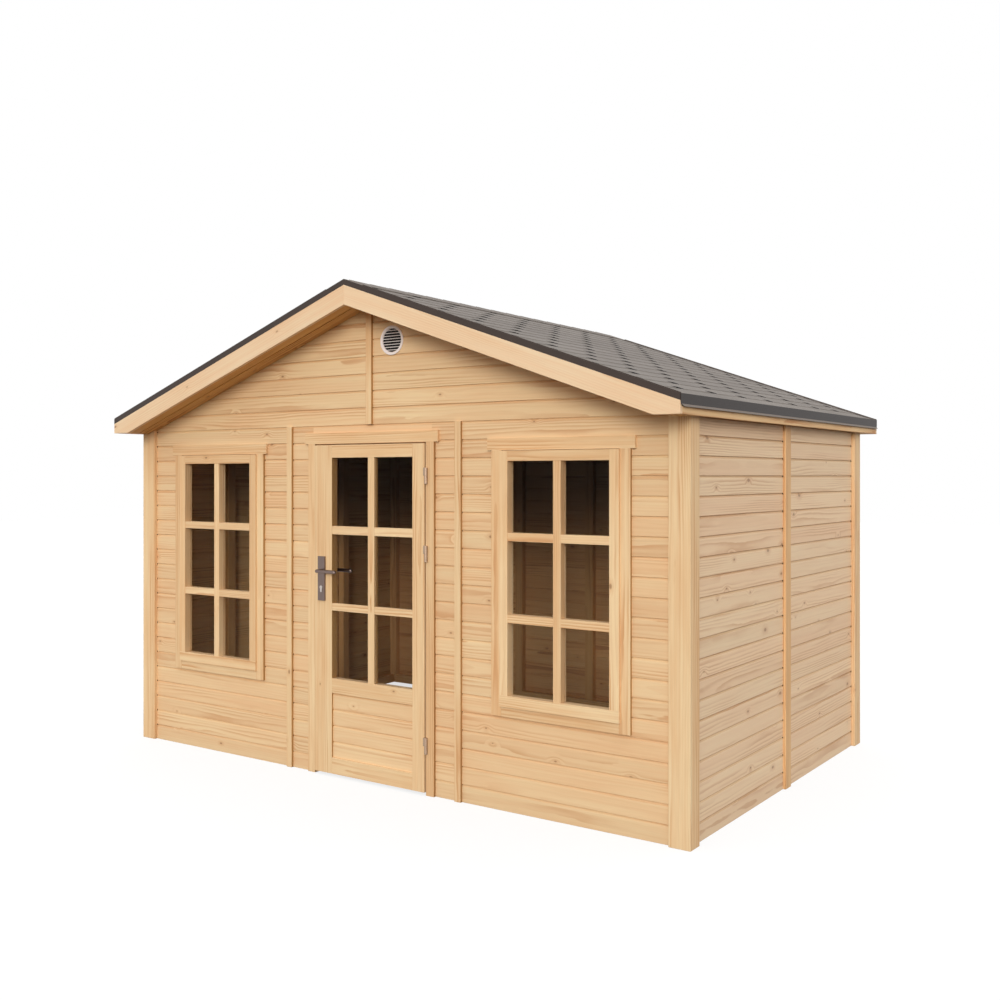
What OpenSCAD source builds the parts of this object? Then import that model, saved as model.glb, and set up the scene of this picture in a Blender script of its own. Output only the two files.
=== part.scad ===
// Wooden garden house: panel walls on a light frame, a gable roof with
// shingles, two fixed six-light windows and a glazed door that opens out.
// Millimetres, +Z up, front towards -Y, origin on the ground under the middle.

/* [House] */
// Width over the corner boards
house_w = 3400; // [3000:10:4400]
// Depth over the corner boards
house_d = 2190; // [1600:10:3400]
// Height of the wall panels
wall_h = 1738; // [1720:2:2100]
// Thickness of the wall boarding
clad_t = 18; // [14:1:24]
// Gap between two panels, under a batten
panel_gap = 2; // [1:0.5:4]

/* [Frame] */
// Width of a stud or rail, along the wall
stud_w = 56; // [40:1:70]
// Depth of a stud or rail, into the room
stud_t = 42; // [30:1:60]
// Width of the roof beams
beam_w = 45; // [35:1:70]
// Depth of the ridge beam and the purlins
beam_h = 95; // [70:1:140]

/* [Trim] */
// Thickness of the corner boards
corner_t = 20; // [14:1:26]
// Width of the corner boards on the front and the back
corner_w = 98; // [70:1:120]
// Width of the front corners' boards on the side walls
corner_side_w = 65; // [45:1:90]
// Width of the back corners' boards on the side walls
corner_back_w = 74; // [45:1:90]
// Width of the front, back and gable battens
batten_w = 36; // [24:1:60]
// Thickness of the battens and casings
batten_t = 14; // [8:1:16]
// Width of the side walls' battens
side_batten_w = 68; // [30:1:90]
// Distance of the front joints from the middle
joint_x = 539; // [500:1:640]

/* [Roof] */
// Pitch of the roof in degrees
pitch = 19.37; // [15:0.01:24]
// Reach of the roof past the corner boards, on each side
side_over = 36; // [24:1:60]
// Reach of the roof past the corner boards, in front
front_over = 168; // [100:1:260]
// Reach of the roof past the corner boards, behind
back_over = 190; // [100:1:260]
// Thickness of the roof boards
deck_t = 19; // [15:1:25]
// Thickness of the shingles where they lie doubled
shingle_t = 5; // [3:0.5:8]
// Half width of the ridge cap
cap_w = 125; // [80:1:180]
// Thickness of the ridge cap
cap_t = 4; // [2:0.5:6]
// Height of the eave beams that lie on the side walls
eave_beam_h = 60; // [45:1:90]
// Width of the barge boards
barge_w = 88; // [80:1:120]
// Thickness of the barge boards
barge_t = 20; // [15:1:26]
// How far the barge boards hang below the soffit boards
soffit_in = 13; // [4:1:20]
// Thickness of the soffit boards
soffit_t = 18; // [14:1:20]
// Thickness of the eave fascias
fascia_t = 18; // [14:1:22]
// How far the level cut at the barge boards' ends lies below the walls' top
fascia_drop = 12; // [8:1:30]
// Sheet thickness of the verge trims and eave drips
sheet_t = 2; // [1.5:0.1:3]
// Width of the verge trims on the roof
verge_w = 40; // [25:1:60]
// Height of the eave drips
drip_h = 42; // [32:1:50]
// Reach of the drips' lower lip
lip = 9; // [5:0.5:14]

/* [Windows] */
// Distance of each window's middle from the middle of the house
win_x = 1078; // [1040:1:1160]
// Width of the sash
sash_w = 604; // [480:1:620]
// Height of the sash
sash_h = 1133; // [900:1:1140]
// Face width of the sash's stiles and top rail
sash_rail = 46; // [35:1:60]
// Face width of the sash's bottom rail
sash_foot = 51; // [35:1:70]
// Depth of the sash
sash_t = 48; // [40:1:56]
// Depth of the glass behind the sash's face
glass_in = 34; // [20:1:35]
// Thickness of the glass
glass_t = 4; // [3:0.5:6]
// Gap round the sash, inside the casing
sash_gap = 2; // [1:0.5:5]
// Lap of the sash's front lip over the casing
sash_lap = 6; // [3:1:12]
// How far the sash stands in front of the casing
sash_proud = 10; // [2:1:14]
// Width of the window casings' sides
casing_w = 48; // [35:1:60]
// Height of the window casings' foot
casing_foot = 45; // [35:1:60]
// Height of the head casings
head_h = 54; // [40:1:70]
// Distance from a window's head casing up to the walls' top
window_drop = 82; // [60:1:120]
// Reach of the head casings past the sides
head_over = 22; // [10:1:30]

/* [Door] */
// Width of the door leaf
door_w = 700; // [600:1:760]
// Distance from the door's head casing up to the walls' top
door_drop = 37; // [20:1:60]
// Gap under the door leaf
door_z = 14; // [8:1:25]
// Thickness of the door leaf
door_t = 40; // [32:1:46]
// Gap between the leaf and the frame round it
door_gap = 6; // [5.5:0.5:10]
// Width of the lock stile
lock_stile = 115; // [90:1:125]
// Width of the hinge stile
hinge_stile = 71; // [50:1:90]
// Height of the top rail
door_top = 63; // [50:1:90]
// Height of the bottom rail
door_foot = 80; // [60:1:120]
// Height of the boarded panel under the lock rail
panel_h = 319; // [200:1:400]
// Height of the rail between the panel and the glass
mid_rail = 73; // [50:1:110]
// Thickness of the boarded panel
panel_t = 16; // [12:1:22]
// Depth of the boarded panel behind the leaf's face
panel_in = 9; // [4:1:14]
// Depth of the door's glass behind the leaf's face
door_glass_in = 8; // [5:1:14]
// Width of the door casings' sides
door_casing_w = 47; // [40:1:70]
// Thickness of the door jambs
jamb_t = 24; // [18:1:30]
// Thickness of the door stop
stop_t = 12; // [8:1:20]

/* [Fittings] */
// Radius of the hinge barrels
barrel_r = 7; // [5:0.5:9]
// Height of a hinge
hinge_h = 76; // [60:1:100]
// Distance of the lowest hinge from the leaf's foot
hinge_low = 181; // [120:1:260]
// Distance of the highest hinge from the leaf's top
hinge_high = 114; // [80:1:200]
// Distance between the two upper hinges, from foot to foot
hinge_pair = 363; // [250:1:400]
// Thickness of the hinge plates
plate_t = 2; // [1.5:0.1:2.5]
// Radius of the hinge pins
pin_r = 3; // [2:0.1:4]
// Running clearance of the hinge pins and the spindle
run_gap = 0.1; // [0.05:0.01:0.3]
// Width of the handle plates
lock_plate_w = 46; // [36:1:50]
// Height of the handle plates
lock_plate_h = 220; // [180:1:250]
// How far the handle plates reach above the lever's axis
plate_up = 72; // [60:1:90]
// Distance of the handle plates from the leaf's edge
plate_in = 27; // [12:1:32]
// Thickness of the handle plates
lock_plate_t = 8; // [4:0.5:10]
// Height of the lever's axis
lever_z = 1016; // [900:1:1050]
// Length of a lever
lever_l = 118; // [90:1:140]
// Reach of a lever's axis in front of its plate
lever_reach = 31; // [28:1:45]
// Radius of a lever's neck
neck_r = 9; // [7:0.5:11]
// Distance from the lever's axis to the lock cylinder's core
key_drop = 82; // [72:1:92]
// Radius of the lock cylinder's core
core_r = 8.5; // [8:0.1:9]
// Height of the lock cylinder
cylinder_h = 33; // [30:0.5:36]
// Width of the lock cylinder's body
cylinder_w = 10; // [9:0.1:12]
// How far the lock cylinder stands in front of the plates
cylinder_out = 2; // [1:0.5:4]
// Radius of the gable vent's flange
vent_r = 71; // [60:1:85]
// Radius of the vent's spigot in the wall
spigot_r = 56; // [45:1:58]
// Distance of the vent's middle from the middle of the gable
vent_x = 138; // [120:1:170]
// Gap between the vent's flange and the soffit boards over it
vent_gap = 45.8; // [10:0.1:80]
// Thickness of the vent's flange
flange_t = 5; // [3:0.5:8]
// Number of louvre blades
blades = 9; // [6:1:12]
// Thickness of the louvre blades
blade_t = 2; // [1.5:0.1:3]
// Tilt of the louvre blades in degrees
blade_tilt = 60; // [20:1:70]

/* [Hidden] */
$fn = 48;

pine = "burlywood";
pine_side = "tan";
pine_frame = "peru";
bitumen = "dimgray";
dark_sheet = "#3b3633";
metal = "slategray";
white_plastic = "whitesmoke";
pane = [0.75, 0.85, 0.88, 0.35];

// Plan: y grows towards the back, and every depth is counted from the corner boards.
roof_len = front_over + house_d + back_over;
y_front = -roof_len / 2 + front_over;
y_back = y_front + house_d;
clad_x = house_w / 2 - corner_t;
clad_front = y_front + corner_t;
clad_back = y_back - corner_t;
in_x = clad_x - clad_t;
in_front = clad_front + clad_t;
in_back = clad_back - clad_t;
room_x = in_x - stud_t;
room_front = in_front + stud_t;
room_back = in_back - stud_t;
y_mid = (y_front + y_back) / 2;

// Roof: heights of its layers at a distance x from the ridge.
rise = tan(pitch);
deck_v = deck_t / cos(pitch);
shingle_v = shingle_t / cos(pitch);
cap_v = cap_t / cos(pitch);
sheet_v = sheet_t / cos(pitch);
barge_v = barge_w / cos(pitch);
soffit_v = soffit_t / cos(pitch);
under_ridge = wall_h + eave_beam_h + rise * clad_x;
roof_x = house_w / 2 + side_over;
fascia_z = wall_h - fascia_drop;

// Soffit boards: they follow the slope, then run level to the fascias from soffit_x on.
soffit_ridge = under_ridge - barge_v + soffit_in;
soffit_x = (soffit_ridge - fascia_z) / rise;

// Clearances: of sloped faces that lie on each other, of pieces set into or before
// others, and the overshoot of a cut past the faces it opens.
seat = 0.05;
fit_gap = 0.3;
cut = 1;
function under(x) = under_ridge - rise * abs(x);
function deck_top(x) = under(x) + deck_v;
function shingle_top(x) = deck_top(x) + shingle_v;

// Windows and door: planes of their faces and the edges of their openings.
casing_y = clad_front - batten_t;
sash_y = casing_y - sash_proud;
hole_w = sash_w - 2 * sash_lap;
head_z = wall_h - window_drop - head_h;
sash_top = head_z - sash_gap;
sash_z = sash_top - sash_h;
hole_z = sash_z + sash_lap;
hole_top = sash_top - sash_lap;
leaf_y = y_front;
leaf_x = door_w / 2;
frame_x = leaf_x + door_gap;
frame_top = wall_h - door_drop - head_h;
leaf_top = frame_top - door_gap;
side_in = frame_x + jamb_t;
light_z = door_z + door_foot + panel_h + mid_rail;
light_top = leaf_top - door_top;
stop_gap = 1;
stop_y = leaf_y + door_t + stop_gap;

// Fittings: the hinges' axis stands in front of the casing, the lever's in the lock stile.
barrel_lap = 1;
hinge_x = frame_x + barrel_r - barrel_lap;
hinge_y = casing_y - barrel_r - fit_gap;
plate_end = stop_y - door_gap;
top_hinge_z = leaf_top - hinge_high - hinge_h;
hinge_zs = [door_z + hinge_low, top_hinge_z - hinge_pair, top_hinge_z];
lever_x = -leaf_x + lock_plate_w / 2 + plate_in;
key_z = lever_z - key_drop;
spindle_r = 4;
spindle_gap = 2;
vent_z = soffit_ridge - rise * vent_x - (vent_r + vent_gap) / cos(pitch);

// ---- helpers -------------------------------------------------------------

// A box from its lowest to its highest corner.
module block(a, b) {
  translate(a) cube(b - a);
}

// An outline drawn in x and z, carried from y0 to y1.
module across(y0, y1) {
  translate([0, y1, 0]) rotate([90, 0, 0]) linear_extrude(y1 - y0) children();
}

// The part on the left as drawn for the right.
module both_sides() {
  children();
  mirror([1, 0, 0]) children();
}

// One slope's layer between two heights above the underside, from x0 to x1.
module slope_band(x0, x1, low, high) {
  polygon([[x0, under(x0) + low], [x1, under(x1) + low], [x1, under(x1) + high], [x0, under(x0) + high]]);
}

// A board wall with its top cut to the roof.
module gable_outline(x0, x1) {
  polygon([[x0, wall_h], [x1, wall_h], [x1, under(x1)], [x0, under(x0)]]);
}

// ---- walls ---------------------------------------------------------------

module window_wall() {
  difference() {
    block([joint_x + panel_gap / 2, clad_front, 0], [clad_x, in_front, wall_h]);
    block([win_x - hole_w / 2, clad_front - cut, hole_z], [win_x + hole_w / 2, in_front + cut, hole_top]);
  }
}
module front_right_wall() { color(pine) window_wall(); }
module front_left_wall() { color(pine) mirror([1, 0, 0]) window_wall(); }

module door_side_walls() {
  color(pine) both_sides() block([side_in, clad_front, 0], [joint_x - panel_gap / 2, in_front, wall_h]);
}
module door_head_wall() {
  color(pine) block([-side_in, clad_front, frame_top + jamb_t], [side_in, in_front, wall_h]);
}

module side_wall() {
  block([in_x, in_front, 0], [clad_x, y_mid - panel_gap / 2, wall_h]);
  block([in_x, y_mid + panel_gap / 2, 0], [clad_x, in_back, wall_h]);
}
module right_wall() { color(pine_side) side_wall(); }
module left_wall() { color(pine_side) mirror([1, 0, 0]) side_wall(); }

module back_wall() {
  color(pine) {
    block([-joint_x + panel_gap / 2, in_back, 0], [joint_x - panel_gap / 2, clad_back, wall_h]);
    both_sides() block([joint_x + panel_gap / 2, in_back, 0], [clad_x, clad_back, wall_h]);
  }
}

module front_gable() {
  color(pine) difference() {
    both_sides() across(clad_front, in_front) gable_outline(panel_gap / 2, clad_x);
    translate([vent_x, clad_front - cut, vent_z]) rotate([-90, 0, 0])
      cylinder(r = spigot_r + run_gap, h = clad_t + 2 * cut);
  }
}
module back_gable() {
  color(pine) both_sides() across(in_back, clad_back) gable_outline(panel_gap / 2, clad_x);
}

// ---- frame behind the boards ----------------------------------------------

stud_top = wall_h - stud_w;
module stud(x, y) {
  block([x - stud_w / 2, y, stud_w], [x + stud_w / 2, y + stud_t, stud_top]);
}

jack_x = win_x - hole_w / 2 - stud_w / 2;
king_x = win_x + hole_w / 2 + stud_w / 2;
corner_x = room_x + stud_t - stud_w / 2;
post_x = side_in + stud_w / 2;
module front_studs() {
  color(pine_frame) both_sides() for (x = [post_x, jack_x, king_x, corner_x]) stud(x, in_front);
}

back_xs = [joint_x, (joint_x + corner_x) / 2, corner_x];
module back_studs() {
  color(pine_frame) {
    stud(0, room_back);
    both_sides() for (x = back_xs) stud(x, room_back);
  }
}

side_run = room_back - room_front;
module side_studs() {
  color(pine_frame) both_sides() for (k = [1:3])
    block([room_x, room_front + side_run * k / 4 - stud_w / 2, stud_w],
          [in_x, room_front + side_run * k / 4 + stud_w / 2, stud_top]);
}

module cross_rails() {
  color(pine_frame) {
    both_sides() block([side_in, in_front, 0], [in_x, room_front, stud_w]);
    block([-in_x, in_front, stud_top], [in_x, room_front, wall_h]);
    block([-in_x, room_back, 0], [in_x, in_back, stud_w]);
    block([-in_x, room_back, stud_top], [in_x, in_back, wall_h]);
    both_sides() block([jack_x + stud_w / 2, in_front, hole_z - stud_w],
                       [king_x - stud_w / 2, room_front, hole_z]);
  }
}

module side_rails() {
  color(pine_frame) both_sides() for (z = [0, stud_top])
    block([room_x, room_front, z], [in_x, room_back, z + stud_w]);
}

// ---- roof ----------------------------------------------------------------

purlin_x = clad_x / 2;
module post_set(y0) {
  block([-in_x + stud_t, y0, wall_h], [in_x - stud_t, y0 + stud_t, wall_h + stud_t]);
  block([-stud_w / 2, y0, wall_h + stud_t], [stud_w / 2, y0 + stud_t, under(beam_w / 2) - beam_h - seat]);
  both_sides() block([purlin_x - stud_w / 2, y0, wall_h + stud_t],
                     [purlin_x + stud_w / 2, y0 + stud_t, under(purlin_x + beam_w / 2) - beam_h - seat]);
}
module gable_posts() {
  color(pine_frame) {
    post_set(in_front);
    post_set(room_back);
  }
}

// A beam under one slope or the ridge, its top planed to the pitch.
module beam_outline(x0, x1, bottom) {
  polygon(concat([[x0, bottom], [x1, bottom], [x1, under(x1)]],
                 x0 < 0 ? [[0, under_ridge]] : [], [[x0, under(x0)]]));
}
module roof_beams() {
  color(pine_frame) {
    across(in_front, in_back) beam_outline(-beam_w / 2, beam_w / 2, under(beam_w / 2) - beam_h);
    both_sides() across(in_front, in_back)
      beam_outline(purlin_x - beam_w / 2, purlin_x + beam_w / 2, under(purlin_x + beam_w / 2) - beam_h);
    both_sides() across(in_front, in_back) beam_outline(room_x, clad_x, wall_h);
  }
}

module roof_layer(low, high, ends) {
  across(-roof_len / 2 + ends, roof_len / 2 - ends) slope_band(0, roof_x, low, high);
}
module roof_deck_right() { color(pine_frame) roof_layer(seat, deck_v, sheet_t); }
module roof_deck_left() { color(pine_frame) mirror([1, 0, 0]) roof_layer(seat, deck_v, sheet_t); }
module shingles_right() { color(bitumen) roof_layer(deck_v, deck_v + shingle_v, sheet_t); }
module shingles_left() { color(bitumen) mirror([1, 0, 0]) roof_layer(deck_v, deck_v + shingle_v, sheet_t); }

module ridge_cap() {
  top = deck_v + shingle_v;
  color(bitumen) both_sides() across(-roof_len / 2 + verge_w, roof_len / 2 - verge_w)
    slope_band(0, cap_w * cos(pitch), top + seat, top + cap_v);
}

// Barge board: mitred at the ridge, cut level and plumb at the eave.
module barge_outline() {
  cut_x = (under_ridge - barge_v - fascia_z) / rise;
  polygon([[0, under_ridge], [0, under_ridge - barge_v], [cut_x, fascia_z],
           [roof_x, fascia_z], [roof_x, under(roof_x)]]);
}

// Soffit boards: they close the overhang between the gable's boards and the barge board.
module soffit_outline() {
  end = roof_x - fascia_t - fit_gap;
  polygon([[0, soffit_ridge], [soffit_x, fascia_z], [end, fascia_z], [end, fascia_z + soffit_v],
           [soffit_x, fascia_z + soffit_v], [0, soffit_ridge + soffit_v]]);
}
module barge_pair() {
  inner = roof_len / 2 - barge_t;
  across(-roof_len / 2, -inner) barge_outline();
  across(-inner + fit_gap, clad_front) soffit_outline();
  across(clad_back, inner - fit_gap) soffit_outline();
  across(inner, roof_len / 2) barge_outline();
}
module right_barge_boards() { color(pine) barge_pair(); }
module left_barge_boards() { color(pine) mirror([1, 0, 0]) barge_pair(); }

module eave_fascias() {
  color(pine_side) both_sides() across(-roof_len / 2 + barge_t, roof_len / 2 - barge_t)
    polygon([[roof_x - fascia_t, fascia_z], [roof_x, fascia_z], [roof_x, under(roof_x)],
             [roof_x - fascia_t, under(roof_x - fascia_t)]]);
}

// Verge trim: an angle that covers the boards' ends and laps the shingles.
module verge_trim() {
  across(-roof_len / 2, -roof_len / 2 + sheet_t)
    slope_band(0, roof_x, 0, deck_v + shingle_v + sheet_v);
  across(-roof_len / 2, -roof_len / 2 + verge_w)
    slope_band(0, roof_x, deck_v + shingle_v, deck_v + shingle_v + sheet_v);
}
module verge_trims() {
  color(dark_sheet) {
    both_sides() verge_trim();
    mirror([0, 1, 0]) both_sides() verge_trim();
  }
}

// Eave drip: a sheet down the eave with its lower lip kicked out, ends rounded.
module drip_outline() {
  top = shingle_top(roof_x) + sheet_v;
  foot = top - drip_h;
  polygon([[roof_x, top], [roof_x, foot], [roof_x + lip, foot - lip], [roof_x + lip + sheet_t, foot - lip],
           [roof_x + sheet_t, foot + sheet_t / 2], [roof_x + sheet_t, top]]);
}
module drip_side_view() {
  r = drip_h / 2;
  top = shingle_top(roof_x) + sheet_v;
  half = roof_len / 2 - sheet_t;
  translate([-half, top - drip_h - lip + r]) square([2 * half, drip_h + lip - r]);
  translate([-half + r, top - drip_h - lip]) square([2 * (half - r), r]);
  for (s = [-1, 1]) translate([s * (half - r), top - drip_h - lip + r]) circle(r = r);
}
module eave_drips() {
  color(dark_sheet) both_sides() intersection() {
    across(-roof_len / 2, roof_len / 2) drip_outline();
    translate([roof_x - cut, 0, 0]) rotate([90, 0, 90])
      linear_extrude(lip + sheet_t + 2 * cut) drip_side_view();
  }
}

// ---- trim ----------------------------------------------------------------

// The outline below the soffit boards, to which the trim of the gable walls is cut.
module below_soffit() {
  low = fascia_z - seat;
  polygon([[-roof_x, 0], [roof_x, 0], [roof_x, low], [soffit_x, low], [0, soffit_ridge - seat],
           [-soffit_x, low], [-roof_x, low]]);
}

module corner_boards(y0, y1, side_y0, side_y1) {
  x1 = house_w / 2;
  both_sides() {
    across(y0, y1) intersection() {
      translate([x1 - corner_w, 0]) square([corner_w, under_ridge]);
      below_soffit();
    }
    across(side_y0, side_y1) polygon([[clad_x, 0], [x1, 0], [x1, under(x1)], [clad_x, under(clad_x)]]);
  }
}
module front_corner_boards() {
  color(pine) corner_boards(y_front, clad_front, clad_front, clad_front + corner_side_w);
}
module back_corner_boards() {
  color(pine) corner_boards(clad_back, y_back, clad_back - corner_back_w, clad_back);
}

module wall_batten(x, y) {
  block([x - batten_w / 2, y, 0], [x + batten_w / 2, y + batten_t, wall_h]);
}
module gable_batten(y) {
  across(y, y + batten_t) intersection() {
    translate([-batten_w / 2, wall_h]) square([batten_w, under_ridge]);
    below_soffit();
  }
}
module front_battens() {
  color(pine) {
    both_sides() wall_batten(joint_x, casing_y);
    gable_batten(casing_y);
  }
}
module back_battens() {
  color(pine) {
    both_sides() wall_batten(joint_x, clad_back);
    gable_batten(clad_back);
  }
}
module side_battens() {
  color(pine_side) both_sides()
    block([clad_x, y_mid - side_batten_w / 2, 0], [clad_x + batten_t, y_mid + side_batten_w / 2, wall_h]);
}

// ---- windows -------------------------------------------------------------

module window_casing() {
  half = sash_w / 2 + casing_w;
  difference() {
    union() {
      block([win_x - half, casing_y, sash_z - casing_foot], [win_x + half, clad_front, head_z]);
      block([win_x - half - head_over, casing_y, head_z],
            [win_x + half + head_over, clad_front, head_z + head_h]);
    }
    block([win_x - hole_w / 2, casing_y - cut, hole_z], [win_x + hole_w / 2, clad_front + cut, hole_top]);
  }
}
module window_casings() { color(pine) both_sides() window_casing(); }

// Sash: a ring whose outer lip laps the casing's edge.
module window_sash() {
  half = sash_w / 2;
  light = half - sash_rail;
  difference() {
    union() {
      block([win_x - half, sash_y, sash_z], [win_x + half, casing_y, sash_top]);
      block([win_x - hole_w / 2 + sash_gap, sash_y, hole_z + sash_gap],
            [win_x + hole_w / 2 - sash_gap, sash_y + sash_t, hole_top - sash_gap]);
    }
    block([win_x - light, sash_y - cut, sash_z + sash_foot],
          [win_x + light, sash_y + sash_t + cut, sash_top - sash_rail]);
  }
}
module window_sashes() { color(pine) both_sides() window_sash(); }

module window_glass() {
  light = sash_w / 2 - sash_rail;
  color(pane) both_sides()
    block([win_x - light, sash_y + glass_in, sash_z + sash_foot],
          [win_x + light, sash_y + glass_in + glass_t, sash_top - sash_rail]);
}

// ---- gable vent ----------------------------------------------------------

flange_chamfer = 2;
bore_r = spigot_r - 3;
blade_root = 1;
module gable_vent() {
  step = 2 * bore_r / blades;
  color(white_plastic) translate([vent_x, clad_front, vent_z]) rotate([90, 0, 0]) {
    rotate_extrude() polygon([[bore_r, -clad_t], [spigot_r, -clad_t], [spigot_r, 0], [vent_r, 0],
                              [vent_r, flange_t - flange_chamfer], [vent_r - flange_chamfer, flange_t],
                              [bore_r, flange_t]]);
    intersection() {
      translate([0, 0, -clad_t]) cylinder(r = bore_r + blade_root, h = clad_t + flange_t);
      for (k = [0:blades - 1]) translate([0, -bore_r + (k + 0.5) * step, -clad_t / 3])
        rotate([-blade_tilt, 0, 0]) cube([2 * spigot_r, step, blade_t], center = true);
    }
  }
}

// ---- door frame ----------------------------------------------------------

module door_casing() {
  outer = frame_x + door_casing_w;
  color(pine) {
    both_sides() block([frame_x, casing_y, 0], [outer, clad_front, frame_top]);
    block([-outer - head_over, casing_y, frame_top], [outer + head_over, clad_front, frame_top + head_h]);
  }
}

// Jambs and head line the opening, with a stop that the leaf shuts against.
module door_jambs() {
  color(pine) difference() {
    block([-side_in, clad_front, 0], [side_in, room_front, frame_top + jamb_t]);
    block([-frame_x, clad_front - cut, -cut], [frame_x, stop_y, frame_top]);
    block([-frame_x + stop_t, clad_front, -cut], [frame_x - stop_t, room_front + cut, frame_top - stop_t]);
  }
}

// Frame half of a hinge: a plate on the jamb, the lower knuckle and the pin.
knuckle_gap = 1;
knuckle_h = (hinge_h - knuckle_gap) / 2;
pin_h = knuckle_h - 4;
module hinge_posts() {
  color(metal) for (z = hinge_zs) {
    block([frame_x - plate_t, casing_y, z], [frame_x, plate_end, z + hinge_h]);
    block([frame_x - plate_t, hinge_y, z], [frame_x, casing_y, z + knuckle_h]);
    translate([hinge_x, hinge_y, z]) cylinder(r = barrel_r, h = knuckle_h);
    translate([hinge_x, hinge_y, z]) cylinder(r = pin_r, h = knuckle_h + pin_h);
  }
}

// ---- door leaf -----------------------------------------------------------

light_x0 = -leaf_x + lock_stile;
light_x1 = leaf_x - hinge_stile;
panel_z = door_z + door_foot;
module door_leaf() {
  color(pine) difference() {
    block([-leaf_x, leaf_y, door_z], [leaf_x, leaf_y + door_t, leaf_top]);
    across(leaf_y - cut, leaf_y + door_t + cut) {
      translate([light_x0, light_z]) square([light_x1 - light_x0, light_top - light_z]);
      translate([light_x0, panel_z]) square([light_x1 - light_x0, panel_h]);
      translate([lever_x, lever_z]) circle(r = spindle_r + spindle_gap);
      cylinder_profile(fit_gap);
    }
  }
}
module door_panel() {
  color(pine) block([light_x0, leaf_y + panel_in, panel_z],
                    [light_x1, leaf_y + panel_in + panel_t, panel_z + panel_h]);
}
module door_glass() {
  color(pane) block([light_x0, leaf_y + door_glass_in, light_z],
                    [light_x1, leaf_y + door_glass_in + glass_t, light_top]);
}

// Leaf half of a hinge: a plate on the leaf's edge, cranked to the upper knuckle.
module hinge_leaves() {
  color(metal) for (z = hinge_zs) difference() {
    top = z + hinge_h;
    union() {
      block([leaf_x, leaf_y, z], [leaf_x + plate_t, plate_end, top]);
      block([leaf_x, hinge_y - barrel_r, top - knuckle_h], [leaf_x + plate_t, leaf_y, top]);
      block([leaf_x, hinge_y - barrel_r, top - knuckle_h], [hinge_x, hinge_y - barrel_r + plate_t, top]);
      translate([hinge_x, hinge_y, top - knuckle_h]) cylinder(r = barrel_r, h = knuckle_h);
    }
    translate([hinge_x, hinge_y, z + knuckle_h]) cylinder(r = pin_r + run_gap, h = knuckle_gap + pin_h);
  }
}

// Profile of the lock cylinder: a round core above a narrow body with a round foot.
module cylinder_profile(clear) {
  body_r = cylinder_w / 2;
  foot = key_z + core_r - cylinder_h + body_r;
  translate([lever_x, key_z]) circle(r = core_r + clear);
  translate([lever_x, foot]) circle(r = body_r + clear);
  translate([lever_x - body_r - clear, foot]) square([2 * (body_r + clear), key_z - foot]);
}
keyway_w = 2;
keyway_h = 9;
keyway_in = 12;
module keyway(y) {
  block([lever_x - keyway_w / 2, y - keyway_in, key_z - keyway_h / 2],
        [lever_x + keyway_w / 2, y + keyway_in, key_z + keyway_h / 2]);
}
module lock_cylinder() {
  face = leaf_y - lock_plate_t - cylinder_out;
  back = leaf_y + door_t + lock_plate_t + cylinder_out;
  color(metal) difference() {
    across(face, back) cylinder_profile(0);
    keyway(face);
    keyway(back);
  }
}

module handle_plate(y0) {
  difference() {
    block([lever_x - lock_plate_w / 2, y0, lever_z + plate_up - lock_plate_h],
          [lever_x + lock_plate_w / 2, y0 + lock_plate_t, lever_z + plate_up]);
    across(y0 - cut, y0 + lock_plate_t + cut) {
      translate([lever_x, lever_z]) circle(r = neck_r + run_gap);
      cylinder_profile(fit_gap);
    }
  }
}
module handle_plates() {
  color(metal) {
    handle_plate(leaf_y - lock_plate_t);
    handle_plate(leaf_y + door_t);
  }
}

// Levers on both faces, joined by the spindle through the leaf.
module lever(side) {
  reach = lock_plate_t + lever_reach;
  y0 = side < 0 ? leaf_y : leaf_y + door_t;
  translate([lever_x, y0, lever_z]) rotate([side < 0 ? 90 : -90, 0, 0]) {
    cylinder(r = neck_r, h = reach);
    translate([0, 0, reach]) {
      sphere(r = neck_r);
      rotate([0, 90, 0]) cylinder(r = neck_r, h = lever_l);
      translate([lever_l, 0, 0]) sphere(r = neck_r);
    }
  }
}
module door_lever() {
  color(metal) {
    lever(-1);
    lever(1);
    translate([lever_x, leaf_y, lever_z]) rotate([-90, 0, 0]) cylinder(r = spindle_r, h = door_t);
  }
}

// ---- the house -----------------------------------------------------------

front_left_wall();
front_right_wall();
door_side_walls();
door_head_wall();
left_wall();
right_wall();
back_wall();
front_gable();
back_gable();
front_studs();
back_studs();
side_studs();
cross_rails();
side_rails();
gable_posts();
roof_beams();
roof_deck_left();
roof_deck_right();
shingles_left();
shingles_right();
ridge_cap();
left_barge_boards();
right_barge_boards();
eave_fascias();
verge_trims();
eave_drips();
front_corner_boards();
back_corner_boards();
front_battens();
back_battens();
side_battens();
window_casings();
window_sashes();
window_glass();
gable_vent();
door_casing();
door_jambs();
hinge_posts();
door_leaf();
door_panel();
door_glass();
hinge_leaves();
handle_plates();
lock_cylinder();
door_lever();
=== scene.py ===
# %% [markdown]
# # A wooden garden house
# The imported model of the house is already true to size: walls, frame, roof, windows and door.
# This lesson gives it its looks. Solid wall panels become single boards, every timber gets the
# run of its own fibres, the roof gets its shingles, and metal, glass and plastic get a finish.
# Everything is in metres. The front looks towards -Y and the ground is at Z = 0.

# %% Load the frame
import math

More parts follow.
